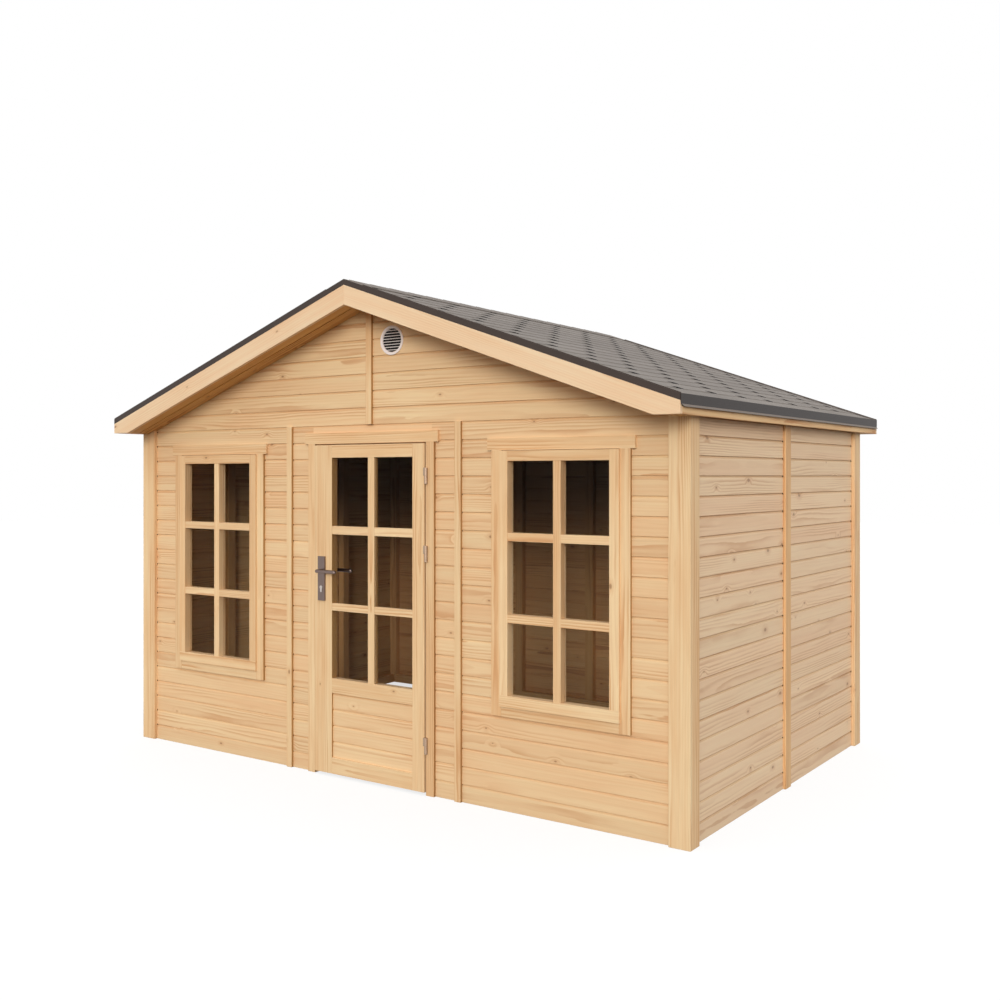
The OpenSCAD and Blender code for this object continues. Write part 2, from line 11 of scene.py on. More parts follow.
import bmesh
import bpy
import numpy as np
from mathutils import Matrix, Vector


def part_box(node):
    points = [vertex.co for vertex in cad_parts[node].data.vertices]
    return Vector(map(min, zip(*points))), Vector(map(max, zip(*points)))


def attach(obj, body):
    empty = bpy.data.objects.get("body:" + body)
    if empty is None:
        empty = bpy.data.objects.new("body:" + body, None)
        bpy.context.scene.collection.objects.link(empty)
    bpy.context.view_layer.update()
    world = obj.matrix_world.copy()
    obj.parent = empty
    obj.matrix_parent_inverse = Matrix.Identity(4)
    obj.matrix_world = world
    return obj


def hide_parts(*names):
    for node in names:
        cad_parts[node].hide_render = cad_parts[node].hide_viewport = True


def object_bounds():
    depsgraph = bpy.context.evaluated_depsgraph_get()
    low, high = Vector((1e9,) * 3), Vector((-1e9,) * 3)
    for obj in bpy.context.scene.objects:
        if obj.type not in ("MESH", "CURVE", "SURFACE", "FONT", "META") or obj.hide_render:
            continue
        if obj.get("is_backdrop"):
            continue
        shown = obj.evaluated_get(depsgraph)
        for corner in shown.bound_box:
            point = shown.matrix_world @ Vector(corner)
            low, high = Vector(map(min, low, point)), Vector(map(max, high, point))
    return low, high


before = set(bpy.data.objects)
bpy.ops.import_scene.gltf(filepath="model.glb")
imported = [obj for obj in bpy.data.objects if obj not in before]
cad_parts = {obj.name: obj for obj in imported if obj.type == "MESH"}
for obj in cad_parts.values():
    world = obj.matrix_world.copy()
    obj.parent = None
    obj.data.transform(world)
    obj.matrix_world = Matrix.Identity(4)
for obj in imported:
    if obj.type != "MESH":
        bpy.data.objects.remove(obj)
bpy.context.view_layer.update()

# %% [markdown]
# ## Measures
# Each place is read from the frame and never typed twice. A node's corners hold more than its
# box: the distinct heights of a pierced wall also give the sill and head of its opening. A node
# that holds many loose timbers, such as studs, is taken apart wherever a plane passes between
# them, and each part is then one timber's box.

# %% Read levels and timbers
TOUCH = 1e-4


def corners(node):
    """All corners of a node's mesh as an array of points."""
    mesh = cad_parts[node].data
    flat = np.zeros(len(mesh.vertices) * 3, np.float32)
    mesh.vertices.foreach_get("co", flat)
    return flat.reshape(-1, 3).astype(float)


def levels(node, axis, above=-9.0):
    """Distinct coordinates of a node's corners along an axis, from the lowest up."""
    found = np.unique(np.round(corners(node)[:, axis], 4))
    return [float(v) for v in found if v > above]


def split(triangles):
    """Boxes of the groups of triangles that a plane across X, Y or Z keeps apart, split again and
    again. Sorted by where they start, a new group begins where one starts past all ends so far."""
    for axis in range(3):
        low, high = triangles[:, :, axis].min(1), triangles[:, :, axis].max(1)
        order = np.argsort(low, kind="stable")
        reach = np.maximum.accumulate(high[order])
        breaks = np.nonzero(low[order][1:] > reach[:-1] + TOUCH)[0] + 1
        if len(breaks):
            parts = np.split(triangles[order], breaks)
            return [box for part in parts for box in split(part)]
    return [(triangles.reshape(-1, 3).min(0), triangles.reshape(-1, 3).max(0))]


def timbers(node):
    """The boxes of a node's loose timbers, as (lowest corner, highest corner)."""
    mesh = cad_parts[node].data
    mesh.calc_loop_triangles()
    index = np.zeros(len(mesh.loop_triangles) * 3, np.int32)
    mesh.loop_triangles.foreach_get("vertices", index)
    return split(corners(node)[index].reshape(-1, 3, 3))


for node in ("front_studs", "side_studs", "cross_rails", "side_rails"):
    print(node, len(timbers(node)), "timbers")

# %% [markdown]
# ## Planes
# A few planes and one slope place everything that follows: the four walls, the wall's top and
# the underside of the roof, which is a straight line on each side of the ridge.

# %% Planes and heights of the house
LEFT, RIGHT = -1, 1
wall_low, wall_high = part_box("front_right_wall")
WALL_TOP = wall_high.z
WALL_T = wall_high.y - wall_low.y
FRONT = wall_low.y
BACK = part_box("back_wall")[1].y
SIDE = wall_high.x
PANEL_JOINT = wall_low.x

slope_foot, _, ridge_under, _ = levels("roof_deck_right", 2)
ROOF_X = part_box("roof_deck_right")[1].x
RISE = (ridge_under - slope_foot) / ROOF_X
PITCH = math.atan(RISE)
DECK_TOP, SHINGLE_TOP = levels("shingles_right", 2)[-2:]
ROOF_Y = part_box("roof_deck_right")[1].y


def under(x):
    """Height of the roof boards' underside at a distance x from the middle."""
    return ridge_under - RISE * np.abs(x)


print("wall top", WALL_TOP, "pitch", round(math.degrees(PITCH), 2), "ridge", round(SHINGLE_TOP, 4))

# %% [markdown]
# ## Camera
# The camera stands at eye height in front of the right corner. It is level, so that upright
# edges stay upright, and a small shift lowers the view instead of a tilt. A 40 mm lens gives
# the two vanishing points of the long walls.

# %% Camera
EYE, HEADING = (3.5992, -5.1493, 1.4899), 0.6088
camera_data = bpy.data.cameras.new("camera")
camera_data.lens = 40.047
camera_data.sensor_width = 36.0
camera_data.shift_y = -0.02444
camera = bpy.data.objects.new("camera", camera_data)
camera.location = EYE
camera.rotation_euler = (math.pi / 2, 0.0, HEADING)
bpy.context.scene.collection.objects.link(camera)
bpy.context.scene.camera = camera
print("camera at", EYE, "turned by", round(math.degrees(HEADING), 1), "degrees")

# %% [markdown]
# ## Shader maths as Python
# A material is a tree of nodes, and long formulas are hard to read as a tree. A small class
# wraps a socket, so that `1 - mask * 0.5` adds the Math nodes by itself. All other nodes come
# from one method, which takes a node's type, its settings and what its sockets get.

# %% Values


class Value:
    """A number that varies over a surface: a socket on which operators add Math nodes."""

    def __init__(self, finish, socket):
        self.finish, self.socket = finish, socket

    def math(self, operation, *others):
        """A Math node of any operation, with this value first."""
        made = self.finish.node("ShaderNodeMath", {"operation": operation},
                                dict(enumerate((self,) + others)))
        return Value(self.finish, made.outputs[0])

    def __add__(self, other):
        return self.math("ADD", other)

    def __mul__(self, other):
        return self.math("MULTIPLY", other)

    def __sub__(self, other):
        return self.math("SUBTRACT", other)

    def __truediv__(self, other):
        return self.math("DIVIDE", other)

    def __rsub__(self, other):
        return self.math("MULTIPLY", -1.0).math("ADD", other)

    __radd__, __rmul__ = __add__, __mul__

    def rise(self, low, high):
        """0 below low, 1 above high and a smooth step between. With low above high it falls."""
        made = self.finish.node("ShaderNodeMapRange", {"interpolation_type": "SMOOTHSTEP"},
                                {0: self, 1: min(low, high), 2: max(low, high)})
        step = Value(self.finish, made.outputs[0])
        return step if low < high else 1.0 - step


print("a value adds Math nodes for + - * /")

# %% Finishes


class Finish:
    """A material under construction, or the world's own tree if one is given."""

    def __init__(self, name, owner=None):
        self.material = owner or bpy.data.materials.new(name)
        self.material.use_nodes = True
        self.tree = self.material.node_tree
        self.tree.nodes.clear()

    def node(self, kind, settings=None, sockets=None):
        """A node of a type, with its settings set first and its sockets fed or set."""
        made = self.tree.nodes.new(kind)
        for key, value in (settings or {}).items():
            setattr(made, key, value)
        for key, value in (sockets or {}).items():
            value = value.socket if isinstance(value, Value) else value
            if isinstance(value, bpy.types.NodeSocket):
                self.tree.links.new(value, made.inputs[key])
            else:
                made.inputs[key].default_value = value
        return made

    def attribute(self, name):
        """The three numbers that a mesh attribute holds at each point."""
        made = self.node("ShaderNodeAttribute", {"attribute_name": name})
        return self.parts(made.outputs["Vector"])

    def place(self):
        """Object coordinates, in metres, as three values."""
        return self.parts(self.node("ShaderNodeTexCoord").outputs["Object"])

    def parts(self, vector):
        """X, Y and Z of a vector, or red, green and blue of a colour."""
        made = self.node("ShaderNodeSeparateXYZ", None, {0: vector})
        return [Value(self, socket) for socket in made.outputs]

    def upward(self):
        """How far a face looks up: 1 for a level top, 0 for a wall, -1 for a ceiling."""
        return self.parts(self.node("ShaderNodeNewGeometry").outputs["True Normal"])[2]

    def vector(self, x, y, z=0.0):
        return self.node("ShaderNodeCombineXYZ", None, {0: x, 1: y, 2: z}).outputs[0]

    def noise(self, vector, scale=1.0, detail=2.0, rough=0.5):
        """Soft noise between about 0.25 and 0.75."""
        made = self.node("ShaderNodeTexNoise", None, {"Vector": vector, "Scale": scale,
                                                      "Detail": detail, "Roughness": rough})
        return Value(self, made.outputs[0])

    def mix(self, low, high, share):
        """From one colour to another by a share between 0 and 1."""
        made = self.node("ShaderNodeMix", {"data_type": "RGBA", "clamp_factor": True},
                         {0: share, 6: low, 7: high})
        return made.outputs[2]

    def scale(self, colour, amount):
        """A colour made lighter or darker by a factor."""
        colour = colour[:3] if isinstance(colour, tuple) else colour
        made = self.node("ShaderNodeVectorMath", {"operation": "SCALE"}, {0: colour, 3: amount})
        return made.outputs[0]

    def bump(self, height, distance, strength):
        """A normal bent by a height between 0 and 1 that stands for a distance in metres."""
        made = self.node("ShaderNodeBump", None,
                         {"Height": height, "Distance": distance, "Strength": strength})
        return made.outputs["Normal"]

    def principled(self, **sockets):
        """Ends the material in one Principled shader; Base_Color stands for Base Color."""
        named = {key.replace("_", " "): value for key, value in sockets.items()}
        shader = self.node("ShaderNodeBsdfPrincipled", None, named)
        self.output(shader.outputs[0])
        return self.material

    def output(self, shader, kind="ShaderNodeOutputMaterial"):
        self.node(kind, None, {"Surface": shader})

    def seen_directly(self):
        """1 for rays that show the surround itself: from the camera, mirrored or through glass."""
        path = self.node("ShaderNodeLightPath")
        kinds = ("Is Camera Ray", "Is Glossy Ray", "Is Transmission Ray")
        rays = [Value(self, path.outputs[kind]) for kind in kinds]
        return rays[0].math("MAXIMUM", rays[1]).math("MAXIMUM", rays[2])


print("a finish builds a material, or the light of the world")

# %% Colours


def rgb(red, green, blue):
    """A colour given in 0 to 255 as a screen shows it, as linear light with alpha."""
    screen = np.array([red, green, blue]) / 255
    linear = np.where(screen > 0.04045, ((screen + 0.055) / 1.055) ** 2.4, screen / 12.92)
    return (*[float(v) for v in linear], 1.0)


print("pale pine:", [round(v, 3) for v in rgb(228, 190, 145)])

# %% [markdown]
# ## Pine
# Sawn pine shows its yearly rings. In a log they are cylinders round the pith, and a board cut
# beside the pith shows them as long flames. The shader does the same: each board stores where
# it lay in its log (the attribute *grain*: along, across and through the fibres), and the
# distance from the pith gives the rings. Noise bends them, knots push them aside, and three
# random numbers a board (the attribute *tint*) change its tone, its warmth and its knots.

# %% The pine finish
RING = 0.0095


def pine(name, pale, ruddy, line, knot, knots=0.35, contrast=1.0, painted_shade=0.0, far=0.0):
    """Pine with rings, streaks and knots.
    ring: sawtooth of sqrt(across^2 + through^2) + bend, late wood where it nears 1.
    knots: cells of 0.36 m by 0.1 m, a share of them with an ellipse at the cell's own point.
    painted_shade: how much painted shade darkens the wood high up and far back in the room, against
    low and at the front.
    far: how much painted shade darkens it at the back of the room at every height."""
    f = Finish(name)
    along, across, through = f.attribute("grain")
    tone, warm, knotty = f.attribute("tint")

    cell_u, cell_v = 2.8, 10.0
    flat = f.vector(along * cell_u, across * cell_v)
    cells = f.node("ShaderNodeTexVoronoi", {"voronoi_dimensions": "2D"},
                   {"Vector": flat, "Scale": 1.0, "Randomness": 0.8})
    at_u, at_v, _ = f.parts(cells.outputs["Position"])
    draw_a, draw_b, _ = f.parts(cells.outputs["Color"])
    away_u = (along * cell_u - at_u) * (0.55 / cell_u)
    away_v = (across * cell_v - at_v) * (1.0 / cell_v)
    away = (away_u * away_u + away_v * away_v).math("POWER", 0.5)
    has = (draw_a * 0.75 + knotty * 0.25).rise(knots + 0.02, knots - 0.02)
    size = draw_b * draw_b * 0.0070 + 0.0024
    core = has * (away / size).rise(1.3, 0.5)
    halo = has * (away / size).rise(4.0, 0.9)
    push = has * (away / 0.03).rise(1.0, 0.0)

    bend = f.noise(f.vector(along * 0.9, across * 7.0, through * 7.0), 1.0, 2.0) * 0.034
    ripple = f.noise(f.vector(along * 7.0, across * 30.0, through * 30.0), 1.0, 2.0) * 0.005
    radius = (across * across + through * through).math("POWER", 0.5) + bend + ripple + push * 0.012
    ring = (radius / RING).math("FRACT")
    late = ring.rise(0.3, 0.88) * ring.rise(1.0, 0.94)
    patch = f.noise(f.vector(along * 1.3, across * 16.0, through * 9.0), 1.0, 2.0)
    streak = f.noise(f.vector(along * 0.7, across * 60.0, through * 60.0), 1.0, 3.0, 0.6)
    cloud = f.noise(f.vector(along * 2.2, across * 11.0, through * 11.0), 1.0, 2.0)
    fibre = f.noise(f.vector(along * 9.0, across * 420.0, through * 420.0), 1.0, 2.0, 0.6)

    share = warm * 0.5 + (streak - 0.5) * (0.9 * contrast) + (cloud - 0.5) * (1.1 * contrast) + 0.22
    base = f.mix(pale, ruddy, share)
    lines = late * (patch.rise(0.44, 0.68) * 0.6 + 0.10) * contrast
    colour = f.mix(base, line, lines)
    colour = f.mix(colour, line, halo * 0.34)
    colour = f.mix(colour, knot, core * 0.7)
    light = (tone - 0.5) * 0.07 + (fibre - 0.5) * (0.13 * contrast) + 1.0
    colour = f.scale(colour, light)
    # Painted shade: darker high up towards the back of the room, and by far towards the back at every
    # height.
    if painted_shade:
        _, y, z = f.place()
        colour = f.scale(colour, 1.0 - z.rise(0.8, 1.5) * y.rise(-1.1, 0.0) * painted_shade)
        colour = f.scale(colour, 1.0 - y.rise(-0.7, 0.6) * far)
    grain = fibre * 0.35 + late * 0.4 - core * 0.2
    return f.principled(Base_Color=colour, Roughness=(fibre - 0.5) * 0.25 - core * 0.12 + 0.62,
                        Normal=f.bump(grain, 0.0005, 0.6))


print("rings", RING * 1000, "mm apart")

# %% [markdown]
# ## The woods
# All timber is the same pine, in copies that differ in tone. The paler copies on the side and back
# walls, the gable and the room's end walls are painted light. The darker ones in the coves, on the
# narrow sides of trim, under the overhang and on the roof boards are painted shade, and inside the
# room painted shade darkens the wood high up and towards the back. Each gets its own pale and ruddy
# colour, colour of the rings and colour of the knots, which is simpler to adjust than one wood with
# many switches.

# %% Woods of the house
LINE, KNOT = rgb(204, 148, 100), rgb(146, 98, 60)
front_wood = pine("pine_front_boards", rgb(235, 204, 160), rgb(228, 184, 139), LINE, KNOT)
# Painted light: the side and back walls get a paler copy of the front's pine, to make up for the
# light they lack.
side_wood_painted_light = pine("pine_side_boards_painted_light", rgb(243, 215, 179), rgb(235, 197, 162),
                 rgb(200, 150, 108), rgb(144, 100, 68), knots=0.42, contrast=0.8)
# Painted light: the front gable gets a paler copy of the front's pine, against the shade of the
# overhang.
gable_wood_painted_light = pine("pine_gable_boards_painted_light", rgb(240, 212, 167), rgb(233, 192, 146), LINE, KNOT)
trim_wood = pine("pine_trim", rgb(239, 209, 165), rgb(226, 181, 132), rgb(210, 156, 106), KNOT,
                 knots=0.2, contrast=1.4)
barge_wood = pine("pine_barge", rgb(241, 219, 185), rgb(234, 189, 147), rgb(224, 178, 134), KNOT,
                  knots=0.45, contrast=0.8)
edge_wood = pine("pine_edge", rgb(238, 198, 147), rgb(228, 178, 123), rgb(200, 142, 90), KNOT,
                 knots=0.2, contrast=1.8)
# Painted shade: the coves get darker copies of the wall woods.
cove_wood_painted_shade = pine("pine_cove_painted_shade", rgb(229, 195, 148), rgb(221, 175, 129), rgb(200, 146, 98), KNOT)
side_cove_painted_shade = pine("pine_side_cove_painted_shade", rgb(218, 186, 146), rgb(208, 168, 130), rgb(184, 136, 94), KNOT)
# Painted shade: the narrow sides of trim and the door leaf's side at the pane get a darker, redder
# wood.
narrow_side_painted_shade = pine("pine_narrow_side_painted_shade", rgb(186, 142, 88), rgb(174, 126, 74), rgb(150, 104, 60), KNOT)
# Inside the room, painted shade darkens the wood high up and towards the back. The end walls also get
# a paler copy, painted light.
room_wood = pine("pine_room_side", rgb(226, 180, 126), rgb(212, 158, 104), rgb(170, 114, 70), KNOT,
                 painted_shade=0.75)
room_ends_light_and_shade = pine("pine_room_ends_painted_light_and_shade", rgb(252, 212, 152), rgb(242, 190, 128), rgb(196, 138, 88), KNOT,
                 painted_shade=0.66, far=0.36)
frame_wood = pine("pine_frame", rgb(224, 180, 124), rgb(210, 158, 100), rgb(176, 120, 70), KNOT,
                  knots=0.25, painted_shade=0.75)
# Painted shade: the roof boards' undersides and the gables' inner faces get a dark brown wood.
roof_wood_painted_shade = pine("pine_roof_boards_painted_shade", rgb(134, 98, 60), rgb(118, 82, 48), rgb(96, 62, 36), KNOT)
# Painted shade: the soffits and the barge boards' backs get a warmer, darker wood.
soffit_wood_painted_shade = pine("pine_soffit_painted_shade", rgb(226, 178, 112), rgb(208, 152, 84), rgb(176, 118, 58), KNOT,
                   contrast=1.6)
print("woods:", [m.name for m in bpy.data.materials if m.name.startswith("pine")])

# %% [markdown]
# ## Metal and plastic
# Coated sheet is slightly rough with a soft sheen, and where it looks up it is paler and duller:
# partly dust, partly a painted highlight. The fittings are brushed steel: noise drawn out along
# one axis gives the streaks. The vent is white plastic, which needs no more than a faint grain.

# %% Metal and plastic


def metal(name, colour, rough, metallic=1.0, brushed=(1.0, 1.0, 1.0), dust=None):
    """Metal with streaks that are long along the axes where brushed is small. If dust has a
    colour, faces that look up turn towards it, paler and duller: partly dust, partly a painted
    highlight."""
    f = Finish(name)
    x, y, z = f.place()
    brush = f.noise(f.vector(x * brushed[0], y * brushed[1], z * brushed[2]), 260.0, 3.0, 0.6)
    smear = f.noise(f.vector(x, y, z), 14.0, 3.0)
    shade = f.scale(colour, smear * 0.3 + (brush - 0.5) * 0.25 + 0.85)
    # Partly dust, partly a painted highlight: faces that look up are paler.
    dust_and_highlight = f.upward().rise(0.15, 0.75) * (0.85 if dust else 0.0)
    return f.principled(Base_Color=f.mix(shade, dust or colour, dust_and_highlight),
                        Metallic=(1.0 - dust_and_highlight) * metallic,
                        Roughness=rough + (brush - 0.5) * 0.3 + dust_and_highlight * 0.2,
                        Normal=f.bump(brush, 0.0002, 0.6))


def plastic(name, colour):
    """Moulded plastic: near even, with a faint grain and dust in its colour."""
    f = Finish(name)
    x, y, z = f.place()
    cloud = f.noise(f.vector(x, y, z), 30.0, 3.0)
    grain = f.noise(f.vector(x, y, z), 900.0, 1.0)
    return f.principled(Base_Color=f.scale(colour, cloud * 0.12 + 0.93), Roughness=0.42,
                        Normal=f.bump(grain, 0.0001, 0.5))


DUST_AND_HIGHLIGHT = rgb(134, 122, 112)
fittings = metal("brushed_fittings", rgb(124, 108, 102), 0.34, 1.0, (1.0, 1.0, 0.08))
cylinder_steel = metal("satin_cylinder", rgb(205, 196, 190), 0.3)
hinge_steel = metal("hinge_steel", rgb(176, 150, 128), 0.42, 0.8, (1.0, 1.0, 0.1))
dark_sheet = metal("coated_drip", rgb(34, 22, 17), 0.5, 0.2, dust=DUST_AND_HIGHLIGHT)
verge_sheet = metal("coated_verge", rgb(60, 48, 42), 0.5, 0.3, dust=DUST_AND_HIGHLIGHT)
vent_white = plastic("vent_white", rgb(250, 240, 238))
print("metal and plastic:", [m.name for m in (fittings, hinge_steel, dark_sheet, vent_white)])

# %% [markdown]
# ## Glass
# A pane could refract like real glass, but that would keep the light of the lamp out of the room
# behind it. So the panes mix a clear shader, which lets all light pass, with a weak mirror.

# %% Glass
MIRROR = 0.05


def clear_glass(name):
    """A pane: nearly clear, with a mirror whose share grows towards a glancing view by Schlick's
    rule, 0.04 + 0.96 * facing^5, weakened so that the room stays in sight."""
    f = Finish(name)
    clear = f.node("ShaderNodeBsdfTransparent", None, {"Color": (0.95, 0.95, 0.95, 1)})
    mirror = f.node("ShaderNodeBsdfGlossy", None, {"Color": (0.9, 0.95, 1, 1), "Roughness": 0.03})
    facing = Value(f, f.node("ShaderNodeLayerWeight", None, {"Blend": 0.5}).outputs["Facing"])
    share = (facing.math("POWER", 5.0) * 0.96 + 0.04) * MIRROR
    mixed = f.node("ShaderNodeMixShader", None, {0: share, 1: clear.outputs[0], 2: mirror.outputs[0]})
    f.output(mixed.outputs[0])
    return f.material


pane_glass = clear_glass("pane_glass")
print("glass:", pane_glass.name, "with a mirror of", MIRROR)

# %% [markdown]
# ## Eased edges
# Once a piece has its mesh, a live Bevel modifier eases its arrises, as a plane would: a sharp
# edge would catch no light. A live modifier is better than cut edges, because its width can be
# changed at any time. Here a piece also learns which body it rides on and what it stands for.

# %% Finish a mesh
FRAME_BEVEL, TRIM_BEVEL, FINE_BEVEL = 0.003, 0.0015, 0.001
ANGLE_LIMIT = math.radians(40)


def dress(mesh, name, body, materials, replaced, bevel):
    """Turns a mesh into a finished piece: faces outward, bevel, material and body, and hides the
    parts it replaces.
    """
    shell = bmesh.new()
    shell.from_mesh(mesh)
    bmesh.ops.recalc_face_normals(shell, faces=shell.faces)
    shell.to_mesh(mesh)
    shell.free()
    made = bpy.data.objects.new(name, mesh)
    bpy.context.scene.collection.objects.link(made)
    for material in materials if isinstance(materials, (list, tuple)) else [materials]:
        mesh.materials.append(material)
    if bevel:
        modifier = made.modifiers.new("eased arrises", "BEVEL")
        modifier.width = bevel
        modifier.segments = 2
        modifier.limit_method = "ANGLE"
        modifier.angle_limit = ANGLE_LIMIT
    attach(made, body)
    if replaced:
        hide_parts(*replaced)


print("bevels of frame, trim and fine timbers:", FRAME_BEVEL, TRIM_BEVEL, FINE_BEVEL)

# %% [markdown]
# ## Boards
# Every timber is a closed shell of a few faces. All boards of a piece are gathered and joined
# in one mesh, because one object of two hundred boards is far lighter than two hundred objects.
# What makes each board its own is not its object but its two attributes. A second material
# serves for faces that differ from the rest, such as edges left rough from the saw.

# %% Gather boards


def shell_faces(count):
    """Faces of a shell between two rings of count points: its sides, then its two ends."""
    here = np.arange(count)
    ahead = np.roll(here, -1)
    sides = np.stack([here, ahead, ahead + count, here + count], 1)
    return [*map(tuple, sides.tolist()), tuple(range(count)), tuple(range(count, 2 * count))]


class Joinery:
    """The boards of one piece: their corners and faces, and each corner's grain and tint."""

    def __init__(self, seed):
        self.draw = np.random.default_rng(seed)
        self.points, self.faces, self.looks, self.grain, self.tint = [], [], [], [], []
        self.size, self.boards = 0, 0

    def plank(self, points):
        """A board's origin in its middle, a random spot in a log and a random tint."""
        points = np.asarray(points, float).reshape(-1, 3)
        log = [self.draw.uniform(0, 60), self.draw.uniform(-0.06, 0.06), self.draw.uniform(0.02, 0.1)]
        self.boards += 1
        return (points.min(0) + points.max(0)) / 2, log, self.draw.uniform(0, 1, 3)

    def add(self, points, faces, along, through, plank=None, looks=None):
        """A closed shell. along is the run of its fibres and through its thin direction. Its grain
        is its place in that frame, counted from its plank's origin and shifted to a spot in a log.
        Parts of one board share a plank, so that the fibres run on from part to part. looks gives
        each face the number of its material, if the piece has more than one."""
        points = np.asarray(points, float).reshape(-1, 3)
        origin, log, tint = plank or self.plank(points)
        along = np.asarray(along, float) / np.linalg.norm(along)
        through = np.asarray(through, float) / np.linalg.norm(through)
        local = (points - origin) @ np.stack([along, np.cross(through, along), through], 1)
        self.points.append(points)
        self.grain.append(local + log)
        self.tint.append(np.tile(tint, (len(points), 1)))
        self.faces += [tuple(corner + self.size for corner in face) for face in faces]
        self.looks += looks or [0] * len(faces)
        self.size += len(points)

    def prism(self, outline, near, far, axis, along, through, looks=None):
        """An outline in the two directions across an axis, carried from near to far. near and far
        may be one number or one for each point, which cuts the end at a slant. looks has a number
        for each side, and then for the two ends."""
        outline = np.asarray(outline, float)
        count = len(outline)
        others = [k for k in range(3) if k != axis]
        points = np.zeros((2, count, 3))
        points[:, :, others] = outline
        points[0, :, axis], points[1, :, axis] = near, far
        self.add(points, shell_faces(count), along, through, looks=looks)

    def block(self, low, high, along=None, painted_shade_sides=False):
        """A squared timber between two corners. Its fibres run along its longest side. If
        painted_shade_sides, its two narrow sides get the second material, a darker wood of painted
        shade."""
        low, high = np.asarray(low, float), np.asarray(high, float)
        extent = high - low
        run = int(np.argmax(extent)) if along is None else "xyz".index(along)
        a, b = [k for k in range(3) if k != run]
        thin = a if extent[a] <= extent[b] else b
        outline = [(low[a], low[b]), (high[a], low[b]), (high[a], high[b]), (low[a], high[b])]
        narrow = int(painted_shade_sides)
        looks = [0, narrow, 0, narrow, 0, 0] if thin == b else [narrow, 0, narrow, 0, 0, 0]
        self.prism(outline, low[run], high[run], run, np.eye(3)[run], np.eye(3)[thin], looks)

    def piece(self, name, material, replaced=(), bevel=0.0, body="house"):
        """The finished object, with its two attributes and each face's material."""
        mesh = bpy.data.meshes.new(name)
        mesh.from_pydata(np.concatenate(self.points), [], self.faces)
        for label, rows in (("grain", self.grain), ("tint", self.tint)):
            made = mesh.attributes.new(label, "FLOAT_VECTOR", "POINT")
            made.data.foreach_set("vector", np.concatenate(rows).astype(np.float32).ravel())
        mesh.polygons.foreach_set("material_index", self.looks)
        dress(mesh, name, body, material, replaced, bevel)
        print(f"{name}: {self.boards} parts, {len(mesh.polygons)} faces")


print("a squared timber has", len(shell_faces(4)), "faces")

# %% [markdown]
# ## Wall boards
# The walls are matched boards of one cover width, laid from the ground up. A board's face is
# flat, its foot is rounded, and under the next board it falls back in a hollow, the cove, which
# draws the thin dark line of each joint. The section is a function of the height in the board,
# so a board that is cut lower still has the right shape.

# %% The section of a board
COURSES = 21
COVER = WALL_TOP / COURSES
FOOT_R = 0.0014
COVE_H, COVE_D, COVE_SHADE = 0.0110, 0.0052, 0.8
TONGUE = 0.0026
INNER_V = 0.004
SLIVER = 0.001


def face_depth(height, cover):
    """How far a board's face lies behind the wall's plane: a quarter round of radius FOOT_R at
    the foot, then none, then a cove whose depth grows as 1 - cos up to COVE_D."""
    low = np.clip(FOOT_R - height, 0, FOOT_R)
    turn = np.clip((height - (cover - TONGUE - COVE_H)) / COVE_H, 0, 1)
    return FOOT_R - np.sqrt(FOOT_R ** 2 - low ** 2) + COVE_D * (1 - np.cos(turn * np.pi / 2))


def section_heights(cover, low, high, steps=()):
    """Heights at which a board's section bends, cut to the range from low to high."""
    foot = FOOT_R * (1 - np.cos(np.linspace(0, np.pi / 2, 4)))
    cove = cover - TONGUE - COVE_H + COVE_H * np.linspace(0, 1, 5)
    every = np.concatenate([foot, cove, [cover - INNER_V, cover, low, high], steps])
    return np.unique(np.round(every[(every >= low) & (every <= high)], 6))


depths = face_depth(np.array([0, COVER / 2, COVER]), COVER) * 1000
print("foot, face and cove lie back", [round(float(v), 2) for v in depths], "mm")

# %% [markdown]
# ## One board
# A grid of four columns, outside and inside at both ends, carries the section along the wall.
# Where a window or the roof cuts a board, only the range of heights or the two ends change. The
# cove has a wood of its own, a little darker: painted shade in the hollow under the next board.

# %% Lay one board


def lay_board(gather, wall, base, low, high, near, far, cover=COVER, thick=WALL_T, steps=(),
              plank=None):
    """One board of a wall. wall is (axis of the run, plane of the face, outward sign); near and
    far give the run's ends, as numbers or as functions of the height above ground."""
    axis, plane, outward = wall
    height = section_heights(cover, low - base, high - base, np.asarray(steps) - base)
    outer = face_depth(height, cover)
    edge = np.minimum(height, cover - height)
    inner = thick - np.clip(INNER_V - edge, 0, INNER_V)
    ends = [np.broadcast_to(end(height + base) if callable(end) else end, height.shape)
            for end in (near, far)]
    grid = np.zeros((len(height), 4, 3))
    grid[:, :, axis] = np.stack([ends[0], ends[1], ends[1], ends[0]], 1)
    grid[:, :, 1 - axis] = plane - outward * np.stack([outer, outer, inner, inner], 1)
    grid[:, :, 2] = (height + base)[:, None]
    row = np.arange(len(height) - 1)[:, None] * 4
    col = np.arange(4)[None, :]
    turn = (col + 1) % 4
    quads = np.stack([row + col, row + turn, row + turn + 4, row + col + 4], 2).reshape(-1, 4)
    last = 4 * (len(height) - 1)
    caps = [(0, 1, 2, 3), (last, last + 1, last + 2, last + 3)]
    run, out = np.eye(3)[axis], np.eye(3)[1 - axis]
    # The cove rows of the outer face get the third material, a darker wood: painted shade under the
    # next board.
    cove = height[:-1] > cover - TONGUE - COVE_H * COVE_SHADE
    looks = [look for dark in cove for look in (2 * int(dark), 0, 1, 0)] + [0, 0]
    gather.add(grid, [*map(tuple, quads.tolist()), *caps], run, out, plank, looks)


print("cover", round(COVER * 1000, 2), "mm in", COURSES, "courses")

# %% [markdown]
# ## Walls
# A wall is one or more panels, and a panel is courses of boards. A course beside a window is
# one board sawn in two, so both parts share one plank and their fibres run on behind the window.

# %% Courses of a wall


